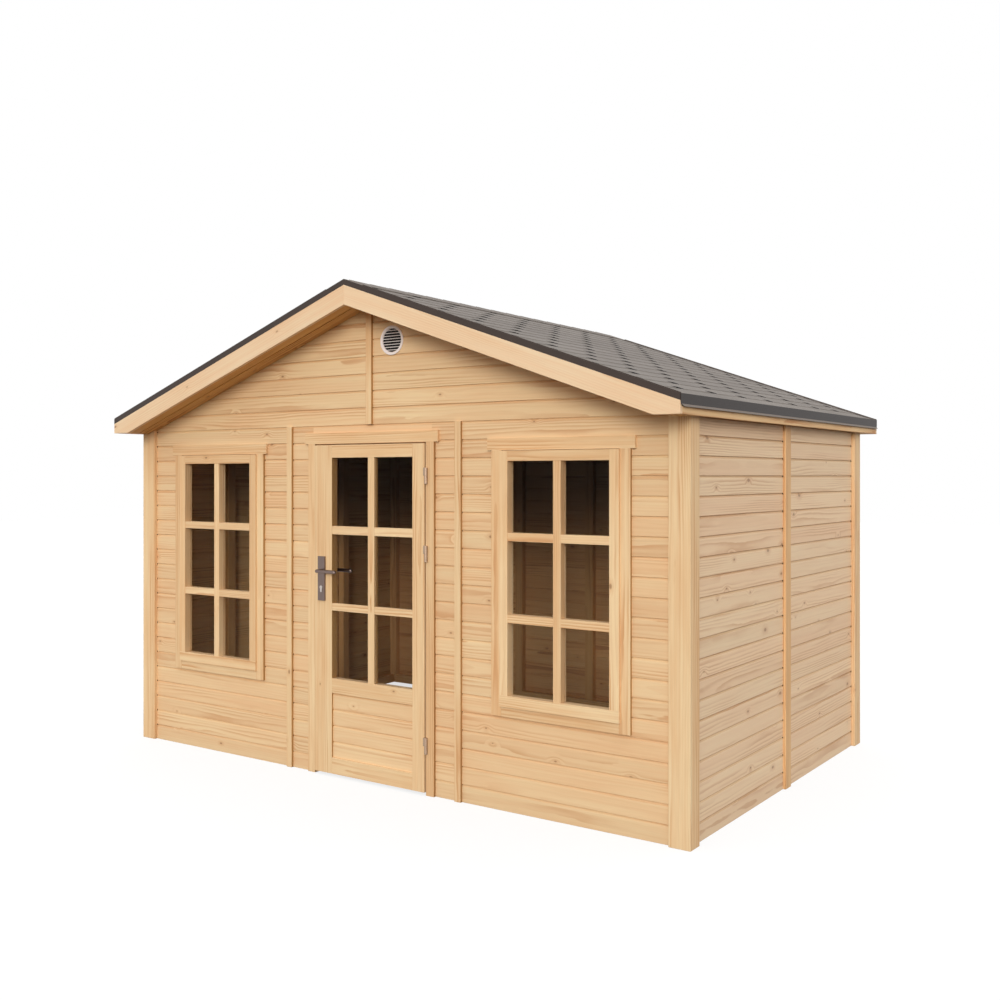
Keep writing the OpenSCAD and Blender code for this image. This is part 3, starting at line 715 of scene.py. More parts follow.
def lay_wall(gather, wall, panels):
    """All courses of a wall. A panel is (a0, a1, z0) and may hold one opening (h0, h1, low, high):
    a course beside the opening is in two parts, and one above or below it keeps that height."""
    axis, plane, _ = wall
    for a0, a1, z0, *opening in panels:
        for course in range(int(z0 / COVER), COURSES):
            base = course * COVER
            low, high = max(base, z0), base + COVER
            spans = [(a0, a1, low, high)]
            if opening:
                h0, h1, hole_low, hole_high = opening
                if hole_low < high and low < hole_high:
                    spans = [(a0, h0, low, high), (h1, a1, low, high),
                             (h0, h1, low, hole_low), (h0, h1, hole_high, high)]
            ends = np.zeros((2, 3))
            ends[:, axis], ends[:, 1 - axis], ends[:, 2] = (a0, a1), plane, (base, base + COVER)
            plank = gather.plank(ends)
            for b0, b1, z_low, z_high in spans:
                if z_high - z_low > SLIVER:
                    lay_board(gather, wall, base, z_low, z_high, b0, b1, plank=plank)


FRONT_WALL, BACK_WALL = (0, FRONT, -1), (0, BACK, 1)
print("front at", FRONT, "back at", BACK)

# %% Front walls
hole_low, hole_high = levels("front_right_wall", 2)[1:3]
_, hole_x0, hole_x1, _ = levels("front_right_wall", 0)
head_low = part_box("door_head_wall")[0].z
window_panel = (PANEL_JOINT, SIDE, 0, hole_x0, hole_x1, hole_low, hole_high)
door_x = levels("door_side_walls", 0, 0)


def mirrored(panel):
    """The same panel on the other side of the middle."""
    a0, a1, z0, *opening = panel
    if opening:
        opening = (-opening[1], -opening[0], *opening[2:])
    return (-a1, -a0, z0, *opening)


WALL_WOODS = {"front_boards": (front_wood, cove_wood_painted_shade), "side_boards": (side_wood_painted_light, side_cove_painted_shade)}


def wall_piece(node, seed, wall, panels, slot="front_boards", inside=room_wood):
    """A wall of boards that stands for its CAD node."""
    gather = Joinery(seed)
    lay_wall(gather, wall, panels)
    outside, cove = WALL_WOODS[slot]
    gather.piece(node + "_boards", [outside, inside, cove], [node])


beside = (door_x[0], door_x[-1], 0)
wall_piece("front_right_wall", 11, FRONT_WALL, [window_panel])
wall_piece("front_left_wall", 12, FRONT_WALL, [mirrored(window_panel)])
wall_piece("door_side_walls", 13, FRONT_WALL, [beside, mirrored(beside)])
wall_piece("door_head_wall", 14, FRONT_WALL, [(-door_x[0], door_x[0], head_low)])

# %% Side and back walls
for node, seed, sign in (("right_wall", 21, RIGHT), ("left_wall", 22, LEFT)):
    panels = [(low[1], high[1], 0) for low, high in timbers(node)]
    wall_piece(node, seed, (1, sign * SIDE, sign), panels, "side_boards", room_ends_light_and_shade)
panels = [(low[0], high[0], 0) for low, high in timbers("back_wall")]
wall_piece("back_wall", 23, BACK_WALL, panels, "side_boards")

# %% [markdown]
# ## Gables
# The same boards go on up to the roof, with their ends cut to its slope: an end is no longer
# one number but a line that depends on the height. The front gable also leaves a round hole for
# the vent, so its boards stop at a circle there, which needs more heights in their sections.

# %% Gables
vent_low, vent_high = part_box("gable_vent")
VENT_X, VENT_Z = (vent_low.x + vent_high.x) / 2, (vent_low.z + vent_high.z) / 2
SPIGOT_R = 0.0560
HOLE_R = SPIGOT_R + 0.0003
ARC_STEPS = 12
GAP = 0.001
EAVE_Z = float(under(SIDE))


def gable_edge(height):
    """How far from the middle a gable board ends at a height: at the roof, or at the corner."""
    return np.clip((ridge_under - height) / RISE, GAP, SIDE)


def hole_half(height):
    """Half the width of the round hole at a height, by Pythagoras."""
    return np.sqrt(np.clip(HOLE_R ** 2 - (height - VENT_Z) ** 2, 0, None))


def gable_courses(gather, wall, hole):
    """Courses above the wall's top, in two panels that meet in the middle. Where the hole is in a
    course, the board is cut in one part before and one behind the hole."""
    _, plane, _ = wall
    for course in range(COURSES, math.ceil((ridge_under - GAP) / COVER)):
        base = course * COVER
        top = min(base + COVER, ridge_under - GAP)
        for sign in (LEFT, RIGHT):
            plank = gather.plank([(0, plane, base), (sign * SIDE, plane, base + COVER)])
            crossed = hole and sign == RIGHT and abs(base + COVER / 2 - VENT_Z) < COVER / 2 + HOLE_R
            if not crossed:
                lay_board(gather, wall, base, base, top, sign * GAP,
                          lambda z: sign * gable_edge(z), steps=[EAVE_Z], plank=plank)
                continue
            steps = np.linspace(max(base, VENT_Z - HOLE_R), min(top, VENT_Z + HOLE_R), ARC_STEPS)
            lay_board(gather, wall, base, base, top, GAP, lambda z: VENT_X - hole_half(z),
                      steps=steps, plank=plank)
            lay_board(gather, wall, base, base, top, lambda z: VENT_X + hole_half(z), gable_edge,
                      steps=steps, plank=plank)


# The gables' inner faces get the dark roof wood and their coves the darker cove wood: both painted
# shade.
for node, seed, wall, woods, slot in (
        ("front_gable", 31, FRONT_WALL, [gable_wood_painted_light, roof_wood_painted_shade, cove_wood_painted_shade], "front_boards"),
        ("back_gable", 32, BACK_WALL, [side_wood_painted_light, roof_wood_painted_shade, side_cove_painted_shade], "side_boards")):
    gather = Joinery(seed)
    gable_courses(gather, wall, node == "front_gable")
    gather.piece(node + "_boards", woods, [node])

# %% [markdown]
# ## The frame behind the boards
# Studs and rails are squared timbers that show through the glass. Their boxes are known, so
# each becomes one block whose fibres run along its longest side.

# %% Studs and rails


def timber_piece(node, seed, material, bevel):
    """A node of loose squared timbers, each with its own grain."""
    gather = Joinery(seed)
    for low, high in timbers(node):
        gather.block(low, high)
    gather.piece(node + "_timber", material, [node], bevel)


FRAME = ("front_studs", "back_studs", "side_studs", "cross_rails", "side_rails")
for seed, node in enumerate(FRAME, 41):
    timber_piece(node, seed, frame_wood, FRAME_BEVEL)

# %% [markdown]
# ## Roof beams and posts
# The beams run from gable to gable, with their tops planed to the slope, so each is an outline
# carried along Y. Behind each gable a sill lies on the wall, and short posts stand on it under
# the ridge beam and the purlins.

# %% Roof beams and the posts that carry them
beam_y0, beam_y1 = levels("roof_beams", 1)[0], levels("roof_beams", 1)[-1]
gather = Joinery(51)
for low, high in timbers("roof_beams"):
    x0, x1, bottom = low[0], high[0], low[2]
    ridge = [(0.0, ridge_under)] if x0 < 0 < x1 else []
    top = [(x1, under(x1)), *ridge, (x0, under(x0))]
    gather.prism([(x0, bottom), (x1, bottom), *top], beam_y0, beam_y1, 1, (0, 1, 0), (1, 0, 0))
gather.piece("roof_beams_timber", frame_wood, ["roof_beams"], FRAME_BEVEL)

END = 0.01
gather = Joinery(52)
post_x = levels("gable_posts", 0)
_, sill_top, *_, side_top, middle_top = levels("gable_posts", 2)
for low, high in timbers("gable_posts"):
    y0, y1 = low[1], high[1]
    gather.block((low[0], y0, WALL_TOP), (high[0], y1, sill_top))
    inner = [x for x in post_x if low[0] + END < x < high[0] - END]
    for x0, x1 in zip(inner[0::2], inner[1::2]):
        gather.block((x0, y0, sill_top), (x1, y1, middle_top if x0 < 0 < x1 else side_top))
gather.piece("gable_posts_timber", frame_wood, ["gable_posts"], FRAME_BEVEL)

# %% [markdown]
# ## Corner boards and battens
# Corner boards and battens are boards laid over the panels' joints. A board with a slanted top
# is an outline in X and Z, carried through its thickness. The narrow sides of a batten get a
# darker, redder wood: painted shade, so that they read as sides even in soft light.

# %% Corner boards and battens
SOFFIT_DROP = ridge_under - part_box("front_battens")[1].z
CUT_Z = levels("right_barge_boards", 2)[0]
SOFFIT_BEND = (ridge_under - SOFFIT_DROP - CUT_Z) / RISE


def below_soffit(x):
    """Height of the soffit at a distance x from the middle: down the slope, then level."""
    return float(max(under(x) - SOFFIT_DROP, CUT_Z))


def cut_top(x0, x1, low, height, bends=()):
    """The outline in X and Z of a board from low up to a height that depends on x."""
    top = sorted([x0, *[x for x in bends if x0 < x < x1], x1], reverse=True)
    return [(x0, low), (x1, low), *[(x, float(height(x))) for x in top]]


def corner_plan(node):
    """The inner and outer X of a node's corner boards, and the depths of its face and its lap."""
    x, y = levels(node, 0, 0), levels(node, 1)
    return (x[0], x[-1], y[:2], y[1:]) if y[0] < 0 else (x[0], x[-1], y[1:], y[:2])


for node, seed in (("front_corner_boards", 61), ("back_corner_boards", 62)):
    gather = Joinery(seed)
    x_in, x_out, face, lap = corner_plan(node)
    face_outline = cut_top(x_in, x_out, 0, below_soffit, [SOFFIT_BEND])
    lap_outline = cut_top(SIDE, x_out, 0, under)
    for sign in (LEFT, RIGHT):
        gather.prism([(sign * x, z) for x, z in face_outline], *face, 1, (0, 0, 1), (0, 1, 0))
        gather.prism([(sign * x, z) for x, z in lap_outline], *lap, 1, (0, 0, 1), (1, 0, 0))
    gather.piece(node + "_planed", trim_wood, [node], TRIM_BEVEL)

for node, seed in (("front_battens", 63), ("back_battens", 64)):
    gather = Joinery(seed)
    for low, high in timbers(node):
        # Both kinds of batten get the darker wood of painted shade on their narrow sides.
        if low[0] < 0 < high[0]:
            outline = cut_top(low[0], high[0], low[2], below_soffit, [0.0])
            looks = [0, 1] + [0] * (len(outline) - 3) + [1, 0, 0]
            gather.prism(outline, low[1], high[1], 1, (0, 0, 1), (0, 1, 0), looks)
        else:
            gather.block(low, high, painted_shade_sides=True)
    gather.piece(node + "_planed", [trim_wood, narrow_side_painted_shade], [node], TRIM_BEVEL)
timber_piece("side_battens", 65, edge_wood, TRIM_BEVEL)

# %% [markdown]
# ## Edges of the roof
# Barge boards follow the slope at both gables, and soffit boards close the overhang behind them
# from below. Both are drawn once for the right slope and mirrored, and what looks down or
# inward has a warmer, darker wood: painted shade.

# %% Barge boards, soffit boards and fascias
SOFFIT_V = 0.018 / math.cos(PITCH)
SOFFIT_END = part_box("eave_fascias")[1].x - 0.0185
SOFFIT_JOINT = 0.003
barge_foot = min(z for z in levels("right_barge_boards", 2) if z > CUT_Z + 0.1)
barge_half = [(0.0, ridge_under), (0.0, barge_foot), ((barge_foot - CUT_Z) / RISE, CUT_Z),
              (ROOF_X, CUT_Z), (ROOF_X, float(under(ROOF_X)))]
soffit_low = [(0.0, below_soffit(0)), (SOFFIT_BEND, CUT_Z), (SOFFIT_END, CUT_Z)]
soffit_half = soffit_low + [(x, z + SOFFIT_V) for x, z in soffit_low[::-1]]


def slope_axes(sign):
    """The direction down a slope of the roof, and the one that stands square on it."""
    sine, cosine = math.sin(PITCH), math.cos(PITCH)
    return (sign * cosine, 0.0, -sine), (sign * sine, 0.0, cosine)


for node, seed, sign in (("right_barge_boards", 66, RIGHT), ("left_barge_boards", 67, LEFT)):
    gather = Joinery(seed)
    barge = [(sign * x, z) for x, z in barge_half]
    soffit = [(sign * x, z) for x, z in soffit_half]
    down, square = slope_axes(sign)
    for low, high in timbers(node):
        if high[2] > ridge_under - TOUCH:
            # The back face, towards the wall, gets the soffit's darker wood: painted shade.
            looks = [0] * len(barge) + ([0, 1] if low[1] < 0 else [1, 0])
            gather.prism(barge, low[1], high[1], 1, down, (0, 1, 0), looks)
            continue
        middle = (low[1] + high[1]) / 2
        for y0, y1 in ((low[1], middle - SOFFIT_JOINT), (middle + SOFFIT_JOINT, high[1])):
            gather.prism(soffit, y0, y1, 1, down, square, [1] * (len(soffit) + 2))
    gather.piece(node + "_planed", [barge_wood, soffit_wood_painted_shade], [node], TRIM_BEVEL)

gather = Joinery(68)
for low, high in timbers("eave_fascias"):
    outline = [(low[0], low[2]), (high[0], low[2]), (high[0], float(under(high[0]))),
               (low[0], float(under(low[0])))]
    gather.prism(outline, low[1], high[1], 1, (0, 1, 0), (1, 0, 0))
gather.piece("eave_fascias_planed", edge_wood, ["eave_fascias"], TRIM_BEVEL)

# %% [markdown]
# ## Window casings
# A casing of three boards and a head hides the joint between the wall and the sash. The upright
# ones have darker narrow sides of painted shade, like the battens.

# %% Window casings


def span(sign, x0, x1):
    """The stretch of X between two distances from the middle, on the side that sign tells."""
    return sorted((sign * x0, sign * x1))


head_x0, side_x0, in_x0, in_x1, side_x1, head_x1 = levels("window_casings", 0, 0)
case_y0, case_y1 = levels("window_casings", 1)
foot_z, sill_z, _, head_z, head_top = levels("window_casings", 2)
gather = Joinery(71)
for sign in (LEFT, RIGHT):
    for x0, x1, z0, z1, run in (
            (side_x0, in_x0, foot_z, head_z, "z"), (in_x1, side_x1, foot_z, head_z, "z"),
            (in_x0, in_x1, foot_z, sill_z, "x"), (head_x0, head_x1, head_z, head_top, "x")):
        a, b = span(sign, x0, x1)
        gather.block((a, case_y0, z0), (b, case_y1, z1), run, painted_shade_sides=run == "z")
gather.piece("window_casings_planed", [trim_wood, narrow_side_painted_shade], ["window_casings"], FINE_BEVEL)

# %% [markdown]
# ## Sashes
# The sash is a frame of stiles and rails with a lip on the casing. All four have one section,
# a small step, which is carried up for the stiles and across for the rails.

# %% Window sashes
lip_x0, body_x0, light_x0, light_x1, body_x1, lip_x1 = levels("window_sashes", 0, 0)
lip_z0, body_z0, light_z0, light_z1, body_z1, lip_z1 = levels("window_sashes", 2)
face_y, lip_y, sash_back = levels("window_sashes", 1)


def stepped(lip, body, light):
    """The section of a stile or rail: a face from the lip to the light, with the body set in."""
    return [(lip, face_y), (light, face_y), (light, sash_back), (body, sash_back),
            (body, lip_y), (lip, lip_y)]


gather = Joinery(72)
for sign in (LEFT, RIGHT):
    for lip, body, light in ((lip_x0, body_x0, light_x0), (lip_x1, body_x1, light_x1)):
        outline = [(sign * x, y) for x, y in stepped(lip, body, light)]
        gather.prism(outline, light_z0, lip_z1, 2, (0, 0, 1), (0, 1, 0))
    for section, reach in ((stepped(lip_z0, body_z0, light_z0), (lip_x0, lip_x1)),
                           (stepped(lip_z1, body_z1, light_z1), (light_x0, light_x1))):
        outline = [(y, z) for z, y in section]
        gather.prism(outline, *span(sign, *reach), 0, (1, 0, 0), (0, 1, 0))
gather.piece("window_sashes_planed", trim_wood, ["window_sashes"], FINE_BEVEL)

# %% [markdown]
# ## Bars
# The sash holds one pane, and flat bars before and behind it divide it in six lights. That is
# how such windows are made, and it spares the thin grooves of six real panes.

# %% Window bars
glass_low, glass_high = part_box("window_glass")
BAR_W, BAR_IN = 0.039, 0.0015
BARS_Z = ((0.840, 0.877), (1.2005, 1.2375))


def bar_grid(gather, light, upright, across_z, y0, y1, painted_shade_sides=False):
    """One upright bar through a light (x0, x1, z0, z1), and short bars from it to the frame."""
    x0, x1, z0, z1 = light
    gather.block((upright[0], y0, z0), (upright[1], y1, z1), "z", painted_shade_sides)
    for low, high in across_z:
        gather.block((x0, y0, low), (upright[0], y1, high), "x")
        gather.block((upright[1], y0, low), (x1, y1, high), "x")


gather = Joinery(73)
for sign in (LEFT, RIGHT):
    a, b = span(sign, light_x0, light_x1)
    middle = ((a + b - BAR_W) / 2, (a + b + BAR_W) / 2)
    for y0, y1 in ((face_y + BAR_IN, glass_low.y), (glass_high.y, sash_back - BAR_IN)):
        bar_grid(gather, (a, b, light_z0, light_z1), middle, BARS_Z, y0, y1)
gather.piece("window_bars", trim_wood, bevel=FINE_BEVEL)

# %% [markdown]
# ## Door frame
# The casing and the jambs belong to the house, while the leaf swings. A slip under the head jamb
# narrows the gap over the leaf, which would otherwise let the light of the room through.

# %% Door casing and jambs
door_in, door_out, door_end = levels("door_casing", 0, 0)
_, door_head, door_top = levels("door_casing", 2)
y0, y1 = levels("door_casing", 1)
gather = Joinery(81)
for sign in (LEFT, RIGHT):
    a, b = span(sign, door_in, door_out)
    # The uprights' narrow sides get the darker wood of painted shade.
    gather.block((a, y0, 0), (b, y1, door_head), "z", painted_shade_sides=True)
gather.block((-door_end, y0, door_head), (door_end, y1, door_top), "x")
gather.piece("door_casing_planed", [trim_wood, narrow_side_painted_shade], ["door_casing"], FINE_BEVEL)

SLIP_IN, SLIP_H = 0.004, 0.003
stop_x, jamb_x, jamb_out = levels("door_jambs", 0, 0)
jamb_y0, stop_y, jamb_y1 = levels("door_jambs", 1)
_, stop_z, jamb_z, jamb_top = levels("door_jambs", 2)
gather = Joinery(82)
for sign in (LEFT, RIGHT):
    for x0, x1, ya, top in ((jamb_x, jamb_out, jamb_y0, jamb_z), (stop_x, jamb_x, stop_y, stop_z)):
        a, b = span(sign, x0, x1)
        gather.block((a, ya, 0), (b, jamb_y1, top), "z")
gather.block((-jamb_out, jamb_y0, jamb_z), (jamb_out, jamb_y1, jamb_top), "x")
gather.block((-jamb_x, stop_y, stop_z), (jamb_x, jamb_y1, jamb_z), "x")
gather.block((-jamb_x, jamb_y0 + SLIP_IN, jamb_z - SLIP_H), (jamb_x, stop_y, jamb_z), "x")
gather.piece("door_jambs_planed", trim_wood, ["door_jambs"], FINE_BEVEL)

# %% [markdown]
# ## Door leaf
# The leaf's stiles run from top to bottom and its rails fit between them. Flat bars lie on both
# faces of the pane, and four boards like those of the walls fill the panel under the lock rail.
# All of them ride on the body *door*, so they turn with it.

# %% Door leaf, panel and bars
leaf_low, leaf_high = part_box("door_leaf")
pane_low, pane_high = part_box("door_glass")
panel_low, panel_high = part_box("door_panel")
gather = Joinery(83)
y0, y1 = leaf_low.y, leaf_high.y
# The stile's side at the pane gets the darker wood of painted shade.
gather.prism([(leaf_low.x, y0), (pane_low.x, y0), (pane_low.x, y1), (leaf_low.x, y1)],
             leaf_low.z, leaf_high.z, 2, (0, 0, 1), (0, 1, 0), [0, 1, 0, 0, 0, 0])
gather.block((pane_high.x, y0, leaf_low.z), (leaf_high.x, y1, leaf_high.z), "z")
for z0, z1 in ((leaf_low.z, panel_low.z), (panel_high.z, pane_low.z), (pane_high.z, leaf_high.z)):
    gather.block((pane_low.x, y0, z0), (pane_high.x, y1, z1), "x")
gather.piece("door_leaf_planed", [trim_wood, narrow_side_painted_shade], ["door_leaf"], FINE_BEVEL, body="door")

PANEL_BOARDS = 4
gather = Joinery(84)
cover = (panel_high.z - panel_low.z) / PANEL_BOARDS
for k in range(PANEL_BOARDS):
    base = panel_low.z + k * cover
    lay_board(gather, (0, panel_low.y, -1), base, base, base + cover, panel_low.x, panel_high.x,
              cover, panel_high.y - panel_low.y)
gather.piece("door_panel_boards", [front_wood, front_wood, cove_wood_painted_shade], ["door_panel"],
             body="door")

DOOR_BAR_X, DOOR_BARS_Z = (0.001, 0.043), ((0.822, 0.858), (1.199, 1.240))
DOOR_BAR_IN, DOOR_BAR_T = 0.001, 0.014
gather = Joinery(85)
light = (pane_low.x, pane_high.x, pane_low.z, pane_high.z)
for y0, y1 in ((leaf_low.y + DOOR_BAR_IN, pane_low.y), (pane_high.y, pane_high.y + DOOR_BAR_T)):
    # The upright bars' narrow sides get the darker wood of painted shade.
    bar_grid(gather, light, DOOR_BAR_X, DOOR_BARS_Z, y0, y1, painted_shade_sides=True)
gather.piece("door_bars", [trim_wood, narrow_side_painted_shade], bevel=FINE_BEVEL, body="door")

# %% [markdown]
# ## Roof boards
# Narrow boards run from the ridge to the eaves on the beams. Their undersides show under the
# overhang and through the glass, and the shingles are laid on top. Their wood is a dark brown:
# painted shade.

# %% Roof boards
ROOF_BOARDS = 30
DECK_GAP = 0.0004
deck_v = float(DECK_TOP - ridge_under)


def slope_band(sign, x0, x1, low, high):
    """The outline in X and Z of a layer of one slope, between two heights above its underside."""
    return [(sign * x0, float(under(x0)) + low), (sign * x1, float(under(x1)) + low),
            (sign * x1, float(under(x1)) + high), (sign * x0, float(under(x0)) + high)]


for node, seed, sign in (("roof_deck_right", 91, RIGHT), ("roof_deck_left", 92, LEFT)):
    gather = Joinery(seed)
    edges = np.linspace(-ROOF_Y, ROOF_Y, ROOF_BOARDS + 1)
    for y0, y1 in zip(edges[:-1], edges[1:]):
        gather.prism(slope_band(sign, 0, ROOF_X, 0, deck_v), y0 + DECK_GAP, y1 - DECK_GAP, 1,
                     *slope_axes(sign))
    gather.piece(node + "_boards", roof_wood_painted_shade, [node], FRAME_BEVEL)

# %% [markdown]
# ## Felt
# Mineral felt is matt and speckled. Fine noise gives the grit, soft noise the weathering, and
# the random tint of each tab a shade of its own, which keeps a roof of one material lively.

# %% Shingle finish


def felt(name, pale, dark, grit=1.0):
    """Mineral felt: a shade for each tab, fine grit, and soft weathering."""
    f = Finish(name)
    x, y, z = f.place()
    tone, _, _ = f.attribute("tint")
    grit_noise = f.noise(f.vector(x, y, z), 700.0, 2.0, 0.7)
    cloud = f.noise(f.vector(x, y, z), 3.5, 3.0)
    share = tone * 0.2 + (cloud - 0.5) * 0.5 + (grit_noise - 0.5) * (0.9 * grit) + 0.4
    colour = f.mix(dark, pale, share)
    return f.principled(Base_Color=colour, Roughness=0.86 + (grit_noise - 0.5) * 0.2,
                        Normal=f.bump(grit_noise, 0.0008, 0.8))


shingle_felt = felt("felt_shingles", rgb(143, 134, 127), rgb(107, 99, 93))
# The slots' near-black felt: partly the dark band printed on shingles, partly painted shade.
slot_print_and_shade = felt("felt_slots_print_and_shade", rgb(12, 11, 10), rgb(6, 5, 5), 0.4)
print("felt:", shingle_felt.name, "and", slot_print_and_shade.name)

# %% [markdown]
# ## Shingles
# The shingles lie in courses that step down to the eave. Each tab is a thin slab whose lower
# edge rests on the course below, and a notch between two tabs opens a slot on a near-black
# underlay. Its black stands for the dark band printed on shingles and for painted shade in the slot.
# Courses are laid half a tab to the side by turns. A tab is only eight points and a thickness,
# so a few hundred of them stay light.

# %% Lay the shingles
COURSE_X, TAB_W = 0.100, 0.327
NOTCH_X, NOTCH_W = 0.030, 0.062
NOTCH_AT, TAB_AT = 0.110, -1.206
SHEET_V, TAB_V = 0.0009, 0.0021
NARROW, TUCK = 0.03, 0.004
shingle_v = float(SHINGLE_TOP - DECK_TOP)


def tab_outline(x_low, x_high, y0, y1, cut0, cut1):
    """A tab in plan: lower edge at x_low, notched by half a slot at the corners that have one."""
    half = NOTCH_W / 2
    left = [(x_low, y0 + half), (x_low - NOTCH_X, y0 + half), (x_low - NOTCH_X, y0)]
    right = [(x_low - NOTCH_X, y1), (x_low - NOTCH_X, y1 - half), (x_low, y1 - half)]
    return np.array((left if cut0 else [(x_low, y0)]) + [(x_high, y0), (x_high, y1)]
                    + (right if cut1 else [(x_low, y1)]))


def add_slab(gather, sign, plan, bottom, top):
    """A tab: its plan outline at two heights for each point. Its notches and seams get the near-black
    felt of the slots, print and painted shade, and the last of its sides, the lower edge, is felt
    like the top."""
    count = len(plan)
    points = np.zeros((2, count, 3))
    points[:, :, 0] = sign * plan[:, 0]
    points[:, :, 1] = plan[:, 1]
    points[0, :, 2], points[1, :, 2] = bottom, top
    looks = [1] * (count - 1) + [0, 0, 0]
    gather.add(points, shell_faces(count), (0, 1, 0), (0, 0, 1), looks=looks)


def lay_shingles(node, seed, sign):
    """Courses of tabs from the ridge to the eave. A tab's lower edge lies on the next course, and
    its upper end stops just under the course above, so that a notch shows the dark sheet."""
    gather = Joinery(seed)
    x_high = 0.0
    lower_edges = np.arange(NOTCH_AT, ROOF_X, COURSE_X) + NOTCH_X / 2
    lower_edges[-1] = ROOF_X
    for course, x_low in enumerate(lower_edges):
        edges = np.arange(TAB_AT + (course % 2 - 2) * TAB_W / 2 - TAB_W, ROOF_Y + TAB_W, TAB_W)
        inner = edges[np.abs(edges) < ROOF_Y - NARROW]
        edges = np.concatenate([[-ROOF_Y], inner, [ROOF_Y]])
        for y0, y1 in zip(edges[:-1], edges[1:]):
            cut = x_low < ROOF_X
            plan = tab_outline(x_low, x_high, y0, y1, cut and y0 > -ROOF_Y, cut and y1 < ROOF_Y)
            share = (plan[:, 0] - x_high) / (x_low - x_high)
            bottom = under(plan[:, 0]) + deck_v + SHEET_V + (shingle_v - TAB_V - SHEET_V) * share
            add_slab(gather, sign, plan, bottom, bottom + TAB_V)
        x_high = x_low - TUCK
    gather.piece(node + "_tabs", [shingle_felt, slot_print_and_shade], [node])
    gather = Joinery(seed + 1)
    outline = slope_band(sign, 0, ROOF_X, deck_v, deck_v + SHEET_V)
    gather.prism(outline, -ROOF_Y, ROOF_Y, 1, (0, 1, 0), (0, 0, 1))
    gather.piece(node + "_underlay", slot_print_and_shade)


lay_shingles("shingles_right", 101, RIGHT)
lay_shingles("shingles_left", 103, LEFT)

# %% [markdown]
# ## Ridge cap
# Pieces of the same felt are bent over the ridge, each with its end on the one before. A piece
# is two slabs that rise by half the cap's thickness from one end to the other, so it lies on its
# neighbour instead of in it.

# %% Ridge cap
CAPS, CAP_LAP = 17, 1.35
cap_low, cap_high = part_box("ridge_cap")
half_v = float(cap_high.z - SHINGLE_TOP) * 0.5
cap_foot = float(SHINGLE_TOP - ridge_under)
step = (cap_high.y - cap_low.y) / CAPS
gather = Joinery(105)
for k in range(CAPS):
    y0, y1 = cap_low.y + k * step, min(cap_low.y + (k + CAP_LAP) * step, cap_high.y)
    for sign in (LEFT, RIGHT):
        outline = np.array(slope_band(sign, 0, cap_high.x, cap_foot, cap_foot + half_v))
        ends = np.zeros((2, 4, 3))
        ends[:, :, 0], ends[:, :, 2] = outline.T
        ends[0, :, 1], ends[1, :, 1] = y0, y1
        ends[0, :, 2] += half_v
        gather.add(ends, shell_faces(4), (0, 1, 0), (0, 0, 1))
gather.piece("ridge_cap_felt", shingle_felt, ["ridge_cap"])

# %% [markdown]
# ## Verge lips
# The sheet that trims each verge is folded up and back on itself at its outer edge, which keeps
# rain from running over it. The fold is one low strip on the trim, from the ridge cap down to
# the eave, and it draws the dark line that borders the shingles.

# %% Folded lips of the verge trims
LIP_V, LIP_W, LIP_IN = 0.006, 0.007, 0.001
trim_v = deck_v + shingle_v
gather = Joinery(107)
for sign in (LEFT, RIGHT):
    lip = slope_band(sign, cap_high.x, ROOF_X, trim_v - LIP_IN, trim_v + LIP_V)
    for y0 in (-ROOF_Y, ROOF_Y - LIP_W):
        gather.prism(lip, y0, y0 + LIP_W, 1, (1, 0, 0), (0, 1, 0))
gather.piece("verge_lips", verge_sheet)

# %% [markdown]
# ## Painted shade behind the trim
# A black strip is let into the wall behind each batten and casing: painted shade for the dark gap
# under the trim. It shows only where a cove runs under the trim, as a small dark mouth.

# %% Painted shade behind the trim
PLUG_IN, PLUG_FACE, PLUG_DEEP = 0.002, 0.0008, 0.0085
PLUG_FOOT, PLUG_END = 0.02, 0.05
net_and_shade_black = felt("black_net_and_painted_shade", rgb(18, 13, 9), rgb(10, 8, 6), 0.3)
gather = Joinery(75)


def shade_plug(wall, low, high, top=WALL_TOP):
    """A black strip of painted shade in the wall's outer layer behind a timber, set in from its
    sides.
    """
    axis, plane, outward = wall
    first, last = np.array(low, float), np.array(high, float)
    first[axis], last[axis] = low[axis] + PLUG_IN, high[axis] - PLUG_IN
    deep = sorted((plane - outward * PLUG_FACE, plane - outward * PLUG_DEEP))
    first[1 - axis], last[1 - axis] = deep
    first[2], last[2] = max(low[2], PLUG_FOOT), min(high[2], top)
    gather.block(first, last, "z")


for sign in (LEFT, RIGHT):
    for low, high in timbers("side_battens"):
        if low[0] * sign > 0:
            shade_plug((1, sign * SIDE, sign), low, high)
    for node, wall in (("front_corner_boards", FRONT_WALL), ("back_corner_boards", BACK_WALL)):
        x_in, _, _, lap = corner_plan(node)
        shade_plug((1, sign * SIDE, sign), (0, lap[0], 0), (0, lap[1], WALL_TOP))
        a, b = span(sign, x_in, SIDE)
        shade_plug(wall, (a, 0, 0), (b, 0, WALL_TOP))
    for x0, x1, z0, z1 in ((side_x0, in_x0, foot_z, head_z), (in_x1, side_x1, foot_z, head_z),
                           (door_in, door_out, 0, door_head)):
        a, b = span(sign, x0, x1)
        shade_plug(FRONT_WALL, (a, 0, z0), (b, 0, z1))
for node, wall in (("front_battens", FRONT_WALL), ("back_battens", BACK_WALL)):
    for low, high in timbers(node):
        shade_plug(wall, low, high, high[2] - PLUG_END)
gather.piece("painted_shade_behind_trim", net_and_shade_black)

# %% [markdown]
# ## Vent
# The vent's flange and spigot are turned: a closed section, given as radius and distance from
# the wall, goes once round the axis. Eight thin slats stand in its mouth, each as long as the
# circle is wide at its height.

